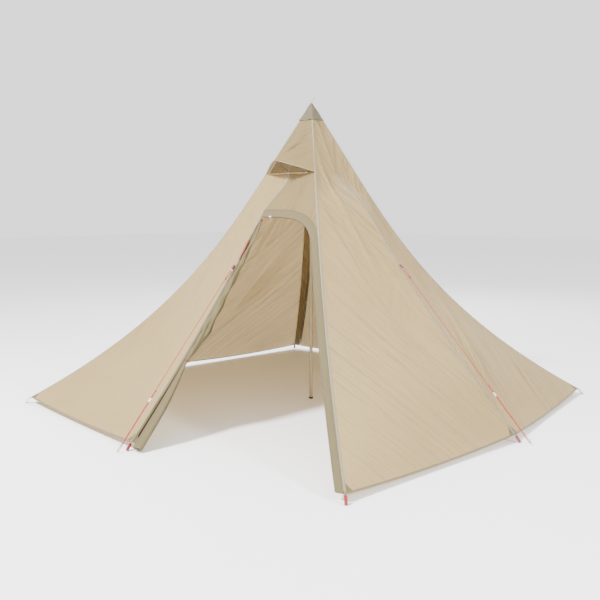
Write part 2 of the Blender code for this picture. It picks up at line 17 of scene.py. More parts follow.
import bpy
import numpy as np
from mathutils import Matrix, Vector


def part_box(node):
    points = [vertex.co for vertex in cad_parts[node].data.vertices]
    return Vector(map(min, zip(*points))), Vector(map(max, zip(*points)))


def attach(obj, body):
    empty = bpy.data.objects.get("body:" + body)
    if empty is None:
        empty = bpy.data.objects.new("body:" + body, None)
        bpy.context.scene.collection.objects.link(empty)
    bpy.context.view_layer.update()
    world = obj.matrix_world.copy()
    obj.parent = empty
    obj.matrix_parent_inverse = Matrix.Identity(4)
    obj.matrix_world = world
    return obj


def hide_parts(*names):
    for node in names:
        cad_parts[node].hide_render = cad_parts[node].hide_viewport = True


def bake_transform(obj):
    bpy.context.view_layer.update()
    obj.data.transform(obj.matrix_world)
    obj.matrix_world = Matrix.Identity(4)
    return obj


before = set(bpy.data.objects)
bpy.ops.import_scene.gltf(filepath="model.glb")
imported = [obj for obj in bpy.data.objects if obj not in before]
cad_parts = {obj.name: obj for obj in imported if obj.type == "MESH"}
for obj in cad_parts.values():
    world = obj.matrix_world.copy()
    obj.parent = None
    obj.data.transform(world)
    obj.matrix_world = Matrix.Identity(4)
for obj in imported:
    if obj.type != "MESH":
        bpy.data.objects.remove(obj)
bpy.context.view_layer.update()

Array = np.ndarray
Colour = tuple[float, float, float, float]

RIDGES = 8
UP = np.array([0.0, 0.0, 1.0])
log = logging.getLogger("tent")


class Side(Enum):
    """The ridges that run down to the middle of a side, each with its number."""

    FRONT = 0
    RIGHT = 2
    BACK = 4
    LEFT = 6


class Corner(Enum):
    """The ridges that run down to a corner, each with its number."""

    FRONT_RIGHT = 1
    BACK_RIGHT = 3
    BACK_LEFT = 5
    FRONT_LEFT = 7


class Whole(Enum):
    """The panels without a doorway, each with its number."""

    RIGHT_FRONT_PANEL = 1
    RIGHT_BACK_PANEL = 2
    BACK_RIGHT_PANEL = 3
    LEFT_BACK_PANEL = 5
    LEFT_FRONT_PANEL = 6
    FRONT_LEFT_PANEL = 7


BESIDE_VENT = (Whole.BACK_RIGHT_PANEL.value, Whole.FRONT_LEFT_PANEL.value)


class Space(Enum):
    """Where a finish reads its pattern: the piece's own map in metres, or its place."""

    MAP = "UV"
    PLACE = "Object"


# ---------------------------------------------------------------- arrays


def mix(first: Array | float, second: Array | float, share: Array | float) -> Array | float:
    """Return the value a share of the way from first to second."""
    return first + (second - first) * share


def smooth(value: Array | float) -> Array:
    """Ease from 0 to 1: the cubic 3v^2 - 2v^3 of the value held between 0 and 1."""
    held = np.clip(value, 0.0, 1.0)
    return held * held * (3.0 - 2.0 * held)


def unit(vectors: Array) -> Array:
    """Return the vectors scaled to length 1."""
    return vectors / np.maximum(np.linalg.norm(vectors, axis=-1, keepdims=True), 1e-12)


def square_to(vectors: Array, along: Array) -> Array:
    """Return the unit vectors left when each loses its part along a direction."""
    return unit(vectors - along * np.sum(vectors * along, axis=1, keepdims=True))


def signed_power(value: Array, power: float) -> Array:
    """Return a value's size to a power, with the value's sign."""
    return np.sign(value) * np.abs(value) ** power


def grid(rows: int, columns: int) -> tuple[Array, Array]:
    """Return two parameters from 0 to 1 on a grid of rows + 1 by columns + 1 points.

    Args:
        rows: steps of the first parameter.
        columns: steps of the second parameter.

    Returns:
        The first and the second parameter, each as a grid.
    """
    return np.meshgrid(np.linspace(0.0, 1.0, rows + 1), np.linspace(0.0, 1.0, columns + 1),
                       indexing="ij")


def surface_normals(points: Array) -> Array:
    """Return unit normals of a grid: the cross product of its steps along rows and columns."""
    return unit(np.cross(np.gradient(points, axis=0), np.gradient(points, axis=1)))


def sheet_area(points: Array) -> float:
    """Return a grid's area: the sum of the cross products of its steps."""
    steps = np.cross(np.diff(points, axis=0)[:, :-1], np.diff(points, axis=1)[:-1])
    return float(np.linalg.norm(steps, axis=-1).sum())


def lengths_along(path: Array) -> Array:
    """Return each point's distance along a path: the running sum of its steps."""
    steps = np.linalg.norm(np.diff(path, axis=0), axis=1)
    return np.concatenate([[0.0], np.cumsum(steps)])


def read_along(places: Array, known: Array, values: Array) -> Array:
    """Return the rows of values at some places: each column read between its known places."""
    return np.stack([np.interp(places, known, column) for column in values.T], axis=-1)


def flowing(points: Sequence[Sequence[float]], samples: int) -> Array:
    """Return a smooth line through points.

    Catmull-Rom: between two points the line is the cubic that leaves the first and reaches the
    second with slopes of half the step between each one's neighbours.

    Args:
        points: what the line runs through, each point or value a row.
        samples: number of points on the line.

    Returns:
        The line's points, samples by the width of a row.
    """
    knots = np.asarray(points, float)
    padded = np.vstack([2 * knots[0] - knots[1], knots, 2 * knots[-1] - knots[-2]])
    place = np.linspace(0.0, len(knots) - 1.0, samples)
    first = np.minimum(place.astype(int), len(knots) - 2)
    t = (place - first)[:, None]
    before, start, end, after = (padded[first + step] for step in range(4))
    return 0.5 * (2 * start + (end - before) * t
                  + (2 * before - 5 * start + 4 * end - after) * t ** 2
                  + (3 * start - before - 3 * end + after) * t ** 3)


def tube_rings(path: Array, radius: float, aside: Array, sides: int) -> Array:
    """Carry a circle along a path.

    Each ring is the path's point plus radius times (cos a * s + sin a * s x t), where t is the
    path's direction and s the part of aside that is square to it.

    Args:
        path: the centre line's points.
        radius: the circle's radius.
        aside: a direction that is nowhere along the path, one or one for each point.
        sides: points of a ring.

    Returns:
        Points in rings along the path.
    """
    along = unit(np.gradient(path, axis=0))
    across = square_to(np.broadcast_to(aside, path.shape), along)
    over = np.cross(across, along)
    turn = np.linspace(0.0, 2.0 * math.pi, sides, endpoint=False)[None, :, None]
    return path[:, None] + radius * (np.cos(turn) * across[:, None] + np.sin(turn) * over[:, None])


def band_rings(path: Array, side: Array, width: Array | float, thick: float,
               closed: bool = False) -> Array:
    """Carry the flat, round-edged section of webbing along a path.

    The section is a superellipse: half the width times the signed root of cos a, half the
    thickness times the signed root of sin a.

    Args:
        path: the centre line's points.
        side: the direction of the webbing's width.
        width: the webbing's width, one or one for each point.
        thick: the webbing's thickness.
        closed: whether the path's end meets its start.

    Returns:
        Points in rings along the path.
    """
    if closed:
        along = unit(np.roll(path, -1, axis=0) - np.roll(path, 1, axis=0))
    else:
        along = unit(np.gradient(path, axis=0))
    across = square_to(np.broadcast_to(side, path.shape), along)
    over = np.cross(across, along)
    turn = np.linspace(0.0, 2.0 * math.pi, 16, endpoint=False)
    reach = np.broadcast_to(width, (len(path),))[:, None] / 2
    wide = signed_power(np.cos(turn), 0.5) * reach
    high = signed_power(np.sin(turn), 0.5) * thick / 2
    return (path[:, None] + wide[..., None] * across[:, None]
            + high[None, :, None] * over[:, None])


# ---------------------------------------------------------------- pieces


def surface_map(points: Array, wrap_rows: bool, wrap_columns: bool) -> tuple[Array, Array]:
    """Measure a grid: the running sums of its mean steps down and of its steps across.

    Args:
        points: the grid.
        wrap_rows: whether the last row joins the first.
        wrap_columns: whether the last column joins the first.

    Returns:
        Distance across, from the middle, and along, with one more row or column if it wraps.
    """
    ring = np.concatenate([points, points[:, :1]], axis=1) if wrap_columns else points
    ring = np.concatenate([ring, ring[:1]], axis=0) if wrap_rows else ring
    down = np.linalg.norm(np.diff(ring, axis=0), axis=2).mean(axis=1)
    along = np.concatenate([[0.0], np.cumsum(down)])[:, None] + 0.0 * ring[..., 0]
    over = np.linalg.norm(np.diff(ring, axis=1), axis=2)
    across = np.concatenate([np.zeros((len(ring), 1)), np.cumsum(over, axis=1)], axis=1)
    return across - across[:, -1:] / 2, along


def make_piece(name: str, points: Array, wrap_rows: bool = False, wrap_columns: bool = False,
               cap_ends: bool = False, scale: Optional[tuple[Array, Array]] = None
               ) -> bpy.types.Object:
    """Turn a grid of points into an object whose map is in metres.

    Args:
        name: the piece's name.
        points: the grid, rows by columns by 3; faces point along row step x column step.
        wrap_rows: whether the last row joins the first.
        wrap_columns: whether the last column joins the first.
        cap_ends: whether the first and last row are closed by a face.
        scale: the map's values, one grid across and one along; measured on the surface if not
            given.

    Returns:
        The object, at the origin.
    """
    rows, columns = points.shape[:2]
    row_count = rows if wrap_rows else rows - 1
    column_count = columns if wrap_columns else columns - 1
    i, j = np.meshgrid(np.arange(row_count), np.arange(column_count), indexing="ij")
    corners = [(i, j), (i + 1, j), (i + 1, j + 1), (i, j + 1)]
    quads = np.stack([(a % rows) * columns + b % columns for a, b in corners], axis=-1)
    faces = quads.reshape(-1, 4).tolist()
    if cap_ends:
        faces.append(list(range(columns)))
        faces.append(list(range((rows - 1) * columns, rows * columns))[::-1])
    mesh = bpy.data.meshes.new(name)
    mesh.from_pydata(points.reshape(-1, 3).tolist(), [], faces)
    chart = np.stack(scale or surface_map(points, wrap_rows, wrap_columns), axis=-1)
    spread = np.stack([chart[a, b] for a, b in corners], axis=2).reshape(-1, 2)
    flat = np.zeros((len(mesh.loops), 2), np.float32)
    flat[:len(spread)] = spread
    mesh.uv_layers.new(name="Metres").data.foreach_set("uv", flat.ravel())
    mesh.shade_smooth()
    mesh.update()
    piece = bpy.data.objects.new(name, mesh)
    bpy.context.scene.collection.objects.link(piece)
    return piece


def make_tube(name: str, rings: Array) -> bpy.types.Object:
    """Turn rings along a path into an object with closed ends."""
    return make_piece(name, rings, wrap_columns=True, cap_ends=True)


def dress(piece: bpy.types.Object, material: bpy.types.Material, slot: str, rides: str = "",
          replaces: str = "", thickness: float = 0.0, offset: float = -1.0) -> bpy.types.Object:
    """Give a piece its thickness and finish, say what it rides on, and report it with its slot.

    Args:
        piece: the piece.
        material: its one material.
        slot: its slot, named in the log.
        rides: the body that it rides on, if it isn't a part of the frame or a bending sheet.
        replaces: the node that it stands for, if any.
        thickness: the thickness of a sheet, or 0 for a closed piece.
        offset: where the thickness goes: -1 behind the sheet, 1 in front of it.

    Returns:
        The piece.
    """
    if thickness:
        shell = piece.modifiers.new("thickness", "SOLIDIFY")
        shell.thickness = thickness
        shell.offset = offset
    piece.data.materials.clear()
    piece.data.materials.append(material)
    if replaces:
        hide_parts(replaces)
    if rides:
        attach(piece, rides)
    log.info("made %s (%s)", piece.name, slot)
    return piece


# ---------------------------------------------------------------- finishes


def paint(red: int, green: int, blue: int) -> Colour:
    """Return display values as a linear colour.

    Up to 0.04045 a value is divided by 12.92; above that it is ((v + 0.055) / 1.055)^2.4.

    Args:
        red: red, from 0 to 255.
        green: green, from 0 to 255.
        blue: blue, from 0 to 255.

    Returns:
        The colour, opaque.
    """
    value = np.array([red, green, blue]) / 255.0
    linear = np.where(value <= 0.04045, value / 12.92, ((value + 0.055) / 1.055) ** 2.4)
    return (*linear.tolist(), 1.0)


def dimmed(colour: Colour, share: float) -> Colour:
    """Return a colour with a share of its brightness."""
    return (*(share * value for value in colour[:3]), 1.0)


class Nodes:
    """A material's node tree, with short ways to add and join nodes."""

    def __init__(self, name: str) -> None:
        """Start a material with nothing but its output.

        Args:
            name: the material's name.
        """
        self.material = bpy.data.materials.new(name)
        self.material.use_nodes = True
        self.tree = self.material.node_tree
        self.tree.nodes.clear()
        self.output = self.add("ShaderNodeOutputMaterial")

    def add(self, kind: str, settings: Optional[dict] = None, **inputs: object) -> bpy.types.Node:
        """Add a node.

        Args:
            kind: the node's type.
            settings: its own properties.
            **inputs: its sockets by name with spaces as underscores, or by number after an n;
                a socket is joined and any other value is set.

        Returns:
            The node.
        """
        node = self.tree.nodes.new(kind)
        for key, value in (settings or {}).items():
            setattr(node, key, value)
        for key, value in inputs.items():
            number = key[1:]
            socket = node.inputs[int(number) if number.isdigit() else key.replace("_", " ")]
            if isinstance(value, bpy.types.NodeSocket):
                self.tree.links.new(value, socket)
            else:
                socket.default_value = value
        return node

    def math(self, operation: str, first: object, second: object = 0.0) -> bpy.types.NodeSocket:
        """Return the result of a calculation on two values."""
        return self.add("ShaderNodeMath", {"operation": operation}, n0=first,
                        n1=second).outputs[0]

    def noise(self, place: bpy.types.NodeSocket, scale: float, detail: float,
              distortion: float = 0.0) -> bpy.types.NodeSocket:
        """Return a noise of the given scale."""
        return self.add("ShaderNodeTexNoise", Vector=place, Scale=scale, Detail=detail,
                        Distortion=distortion).outputs["Fac"]

    def blend(self, share: object, first: object, second: object) -> bpy.types.NodeSocket:
        """Return the colour a share of the way from first to second."""
        return self.add("ShaderNodeMix", {"data_type": "RGBA"}, n0=share, n6=first,
                        n7=second).outputs[2]

    def place(self, space: Space, scale: tuple[float, float, float] = (1.0, 1.0, 1.0)
              ) -> bpy.types.NodeSocket:
        """Return the pattern's coordinates, scaled."""
        source = self.add("ShaderNodeTexCoord").outputs[space.value]
        return self.add("ShaderNodeMapping", Vector=source, Scale=scale).outputs[0]

    def weave(self, pitch: float) -> bpy.types.NodeSocket:
        """Return a plain weave on the piece's map: the product of two waves square to each other.

        Args:
            pitch: distance between two yarns.

        Returns:
            The height of the yarns, from 0 to 1.
        """
        source = self.place(Space.MAP)
        period = 2.0 * math.pi / 20.0
        waves = [self.add("ShaderNodeTexWave", {"wave_type": "BANDS", "bands_direction": way},
                          Vector=source, Scale=period / pitch).outputs["Fac"]
                 for way in ("X", "Y")]
        return self.math("MULTIPLY", *waves)

    def stitches(self, rows: Sequence[float], pitch: float, width: float
                 ) -> bpy.types.NodeSocket:
        """Return 1 on stitches that run along the piece's map, each two thirds of its pitch long.

        Args:
            rows: distances of the stitch rows from the map's middle line.
            pitch: length of a stitch with its gap.
            width: width of the thread.

        Returns:
            The mask.
        """
        source = self.add("ShaderNodeTexCoord").outputs["UV"]
        parts = self.add("ShaderNodeSeparateXYZ", Vector=source).outputs
        dash = self.math("LESS_THAN", self.math("FRACT", self.math("DIVIDE", parts[1], pitch)),
                         0.66)
        rowwise = None
        for row in rows:
            off = self.math("ABSOLUTE", self.math("SUBTRACT", parts[0], row))
            near = self.math("LESS_THAN", off, width / 2)
            rowwise = near if rowwise is None else self.math("MAXIMUM", rowwise, near)
        return self.math("MULTIPLY", dash, rowwise)

    def bump(self, height: bpy.types.NodeSocket, distance: float, strength: float,
             under: Optional[bpy.types.NodeSocket] = None) -> bpy.types.NodeSocket:
        """Return the normal of a relief.

        Args:
            height: the relief, from 0 to 1.
            distance: height of 1, in metres.
            strength: share of the relief that shows.
            under: a normal that the relief is laid over.

        Returns:
            The normal.
        """
        node = self.add("ShaderNodeBump", Height=height, Distance=distance, Strength=strength)
        if under is not None:
            self.tree.links.new(under, node.inputs["Normal"])
        return node.outputs[0]

    def finish(self, shader: bpy.types.NodeSocket) -> bpy.types.Material:
        """Join the shader to the output and return the material."""
        self.tree.links.new(shader, self.output.inputs["Surface"])
        return self.material


@dataclass(frozen=True)
class Cloth:
    """Coated plain-weave cloth that lets some light through.

    Attributes:
        name: the material's name.
        colour: colour of the cloth.
        shade: colour that it drifts to in broad patches.
        through: share of the light that passes.
        pitch: distance between two yarns.
        crinkle: height of the fine crumpling.
        stitch_rows: distances of stitch rows from the map's middle line.
        thread: colour of the stitches.
        roughness: how matt the cloth is.
        paleness: how far the light that passes is paler than the cloth.
        fold_angle: lean of the tension folds from straight down the map.
        fold_height: height of the tension folds.
        long_folds: how often the long folds repeat in a metre, across and along.
        fine_folds: how often the fine folds repeat in a metre, across and along.
    """

    name: str
    colour: Colour
    shade: Colour
    through: float = 0.55
    pitch: float = 0.0006
    crinkle: float = 0.004
    stitch_rows: tuple[float, ...] = ()
    thread: Colour = (0.55, 0.50, 0.40, 1.0)
    roughness: float = 0.62
    paleness: float = 0.55
    fold_angle: float = 0.0
    fold_height: float = 0.0
    long_folds: tuple[float, float, float] = (11.0, 0.7, 1.0)
    fine_folds: tuple[float, float, float] = (34.0, 2.6, 1.0)

    def folds(self, nodes: Nodes, place: bpy.types.NodeSocket) -> bpy.types.NodeSocket:
        """Return the tension folds: a long and a fine stretched noise, where a broad one is high.

        Args:
            nodes: the material's nodes.
            place: the piece's place.

        Returns:
            The relief.
        """
        turned = nodes.add("ShaderNodeMapping", Vector=nodes.place(Space.MAP),
                           Rotation=(0.0, 0.0, self.fold_angle)).outputs[0]
        long, fine = (nodes.add("ShaderNodeMapping", Vector=turned, Scale=scale).outputs[0]
                      for scale in (self.long_folds, self.fine_folds))
        broad = nodes.noise(place, scale=1.7, detail=1.0)
        where = nodes.math("POWER", nodes.math("MULTIPLY", broad, 1.8), 2.0)
        small = nodes.noise(fine, scale=1.0, detail=1.5, distortion=0.5)
        folds = nodes.math("ADD", nodes.noise(long, scale=1.0, detail=1.5, distortion=0.35),
                           nodes.math("MULTIPLY", small, 0.45))
        return nodes.math("MULTIPLY", folds, where)

    def material(self) -> bpy.types.Material:
        """Build the material.

        Its colour drifts with a broad noise and the yarns' own, its relief is crumpling, folds,
        weave and stitches laid over each other, and a share of it is lit from behind.

        Returns:
            The material.
        """
        nodes = Nodes(self.name)
        place = nodes.place(Space.PLACE)
        drift = nodes.noise(place, scale=2.4, detail=3.0, distortion=0.4)
        slub = nodes.noise(nodes.place(Space.MAP, (260.0, 14.0, 14.0)), scale=1.0, detail=2.0)
        share = nodes.math("ADD", nodes.math("MULTIPLY", slub, 0.16),
                           nodes.math("MULTIPLY", drift, 0.9))
        colour = nodes.blend(share, self.colour, self.shade)
        crumple = nodes.noise(place, scale=16.0, detail=5.0, distortion=0.9)
        normal = nodes.bump(crumple, self.crinkle, 0.45)
        if self.fold_height:
            normal = nodes.bump(self.folds(nodes, place), self.fold_height, 1.0, normal)
        normal = nodes.bump(nodes.weave(self.pitch), 0.0002, 0.35, normal)
        if self.stitch_rows:
            sewn = nodes.stitches(self.stitch_rows, pitch=0.0035, width=0.0011)
            colour = nodes.blend(sewn, colour, self.thread)
            normal = nodes.bump(sewn, 0.0006, 0.8, normal)
        front = nodes.add("ShaderNodeBsdfPrincipled", Base_Color=colour, Normal=normal,
                          Roughness=self.roughness, Sheen_Weight=0.15, Specular_IOR_Level=0.3)
        glow = nodes.blend(self.paleness, colour, PASSING)
        behind = nodes.add("ShaderNodeBsdfTranslucent", Color=glow, Normal=normal)
        both = nodes.add("ShaderNodeMixShader", n0=self.through, n1=front.outputs[0],
                         n2=behind.outputs[0])
        return nodes.finish(both.outputs[0])


@dataclass(frozen=True)
class Webbing:
    """Narrow woven tape with a second colour in the gaps between its yarns: painted shade on the
    red and zip webbing, a pale yarn on the pale webbing.

    Attributes:
        name: the material's name.
        colour: colour of the yarn.
        shade: colour in the gaps.
        pitch: distance between two yarns.
    """

    name: str
    colour: Colour
    # shade: colour in the gaps; painted shade on the red and zip webbing, a pale yarn on the pale
    # webbing.
    shade: Colour
    pitch: float = 0.0011

    def material(self) -> bpy.types.Material:
        """Build the material: the weave and a fine noise set its colour, and the weave its relief.

        Returns:
            The material.
        """
        nodes = Nodes(self.name)
        weave = nodes.weave(self.pitch)
        wear = nodes.noise(nodes.place(Space.PLACE), scale=90.0, detail=3.0)
        share = nodes.math("MULTIPLY", nodes.math("ADD", weave, wear), 0.62)
        # The gap colour goes where the weave is low: painted shade on the red and zip webbing.
        colour = nodes.blend(share, self.shade, self.colour)
        skin = nodes.add("ShaderNodeBsdfPrincipled", Base_Color=colour, Roughness=0.72,
                         Normal=nodes.bump(weave, 0.0004, 0.8), Sheen_Weight=0.25)
        return nodes.finish(skin.outputs[0])


@dataclass(frozen=True)
class Braid:
    """Braided cord: two crossing spirals of yarn on the cord's map.

    Attributes:
        name: the material's name.
        colour: colour of the yarn.
        fleck: colour of the marker yarns.
        lay: how often the spirals repeat, around and along.
    """

    name: str
    colour: Colour
    fleck: Colour
    lay: tuple[float, float, float] = (700.0, 260.0, 1.0)

    def material(self) -> bpy.types.Material:
        """Build the material: the higher of two sines is its relief, their product its flecks.

        Returns:
            The material.
        """
        nodes = Nodes(self.name)
        parts = nodes.add("ShaderNodeSeparateXYZ",
                          Vector=nodes.place(Space.MAP, self.lay)).outputs
        spirals = [nodes.math("SINE", nodes.math(way, parts[0], parts[1]))
                   for way in ("ADD", "SUBTRACT")]
        marks = nodes.math("GREATER_THAN", nodes.math("MULTIPLY", *spirals), 0.72)
        colour = nodes.blend(marks, self.colour, self.fleck)
        normal = nodes.bump(nodes.math("MAXIMUM", *spirals), 0.0004, 0.7)
        skin = nodes.add("ShaderNodeBsdfPrincipled", Base_Color=colour, Normal=normal,
                         Roughness=0.6, Sheen_Weight=0.2)
        return nodes.finish(skin.outputs[0])


@dataclass(frozen=True)
class Moulded:
    """Moulded plastic or rubber with a fine grain.

    Attributes:
        name: the material's name.
        colour: its colour.
        roughness: how matt it is.
    """

    name: str
    colour: Colour
    roughness: float = 0.45

    def material(self) -> bpy.types.Material:
        """Build the material: one noise dims its colour and a finer one is its grain.

        Returns:
            The material.
        """
        nodes = Nodes(self.name)
        place = nodes.place(Space.PLACE)
        grain = nodes.noise(place, scale=900.0, detail=2.0)
        colour = nodes.blend(nodes.noise(place, scale=70.0, detail=3.0), self.colour,
                             dimmed(self.colour, 0.78))
        skin = nodes.add("ShaderNodeBsdfPrincipled", Base_Color=colour,
                         Normal=nodes.bump(grain, 0.0002, 0.3), Roughness=self.roughness)
        return nodes.finish(skin.outputs[0])


@dataclass(frozen=True)
class Metal:
    """Drawn or brushed metal with fine lines along Z.

    Attributes:
        name: the material's name.
        colour: its colour.
        roughness: how matt it is.
        metallic: 1 on bare metal, less under a coating.
    """

    name: str
    colour: Colour
    roughness: float = 0.34
    metallic: float = 1.0

    def material(self) -> bpy.types.Material:
        """Build the material: smears dim its colour, and a noise stretched along Z is its lines.

        Returns:
            The material.
        """
        nodes = Nodes(self.name)
        lines = nodes.noise(nodes.place(Space.PLACE, (900.0, 900.0, 6.0)), scale=1.0, detail=2.0)
        smear = nodes.noise(nodes.place(Space.PLACE), scale=14.0, detail=4.0)
        colour = nodes.blend(smear, self.colour, dimmed(self.colour, 0.8))
        skin = nodes.add("ShaderNodeBsdfPrincipled", Base_Color=colour,
                         Normal=nodes.bump(lines, 0.0001, 0.25), Roughness=self.roughness,
                         Metallic=self.metallic)
        return nodes.finish(skin.outputs[0])


@dataclass(frozen=True)
class Netting:
    """Fine insect net: yarns a little over a millimetre apart with open holes.

    Attributes:
        name: the material's name.
        colour: colour of the yarn.
        pitch: distance between two yarns.
        yarn: the yarn's share of the pitch.
    """

    name: str
    colour: Colour
    pitch: float = 0.0012
    yarn: float = 0.42

    def material(self) -> bpy.types.Material:
        """Build the material: yarn where the part of a pitch along X or Z is small, else a hole.

        Returns:
            The material.
        """
        nodes = Nodes(self.name)
        parts = nodes.add("ShaderNodeSeparateXYZ", Vector=nodes.place(Space.PLACE)).outputs
        yarns = [nodes.math("LESS_THAN", nodes.math("FRACT", nodes.math(
            "DIVIDE", part, self.pitch)), self.yarn) for part in (parts[0], parts[2])]
        skin = nodes.add("ShaderNodeBsdfPrincipled", Base_Color=self.colour, Roughness=0.8)
        hole = nodes.add("ShaderNodeBsdfTransparent")
        both = nodes.add("ShaderNodeMixShader", n0=nodes.math("MAXIMUM", *yarns),
                         n1=hole.outputs[0], n2=skin.outputs[0])
        return nodes.finish(both.outputs[0])


Finish = Union[Cloth, Webbing, Braid, Moulded, Metal, Netting]

PASSING = paint(240, 232, 214)
RED = paint(160, 16, 8)

CANOPY = Cloth("canopy_cloth", paint(192, 170, 122), paint(178, 154, 106))
# The canopy cloth darkened as painted shade, worn by the hoods and the strips over the doorways.
PAINTED_SHADE_CANOPY = Cloth("upper_cloth", paint(160, 140, 98), paint(146, 125, 84))
TRIM = Cloth("trim_cloth", paint(124, 112, 77), paint(108, 96, 63), through=0.40, crinkle=0.014)
CAP = Cloth("cap_cloth", paint(104, 96, 72), paint(92, 84, 60), through=0.25, crinkle=0.010)
TAPE = Cloth("seam_tape", paint(134, 127, 101), paint(120, 111, 84), through=0.05,
             crinkle=0.002, stitch_rows=(-0.006, 0.006))
BINDING = Cloth("hem_binding", paint(112, 101, 72), paint(98, 87, 60), through=0.0,
                crinkle=0.002, stitch_rows=(-0.0085, 0.0085))
# The red and zip webbing's second colour is painted shade in the gaps between the yarns; the pale
# webbing's is a pale yarn.
RED_WEB = Webbing("red_webbing", RED, paint(112, 8, 4))
HANG_WEB = Webbing("pale_webbing", RED, paint(150, 132, 112))
ZIP = Webbing("zip_cloth", paint(92, 78, 58), paint(62, 50, 36), pitch=0.0009)
GUY_BRAID = Braid("guy_braid", paint(150, 12, 4), paint(182, 44, 24))
ALLOY = Metal("pole_tube", paint(172, 160, 134), 0.42, 0.35)
STEEL = Metal("ring_wire", paint(150, 150, 148))
STAY_ROD = Moulded("stay_rod", paint(98, 94, 84))
PALE_PLASTIC = Moulded("pale_moulding", paint(214, 212, 202))
RUBBER = Moulded("black_rubber", paint(42, 40, 38), 0.7)
# Tan net yarn, its colour darkened as painted shade for the shadow under the hoods.
NET = Netting("insect_net", paint(104, 84, 52))


@dataclass
class Wardrobe:
    """The materials made so far, so that each finish is built once."""

    made: dict[str, bpy.types.Material] = field(default_factory=dict)

    def wear(self, finish: Finish) -> bpy.types.Material:
        """Return a finish's material, building it the first time.

        Args:
            finish: the finish, known by its name.

        Returns:
            The material.
        """
        if finish.name not in self.made:
            self.made[finish.name] = finish.material()
        return self.made[finish.name]

    def folded(self, cloth: Cloth, angle: float, height: float) -> bpy.types.Material:
        """Return a cloth's material with tension folds that lean by an angle."""
        name = f"{cloth.name}_{round(math.degrees(angle)):d}_{round(1000 * height):d}"
        return self.wear(replace(cloth, name=name, fold_angle=angle, fold_height=height))


# ---------------------------------------------------------------- the canopy's surface

SEAM_GAP = 0.003


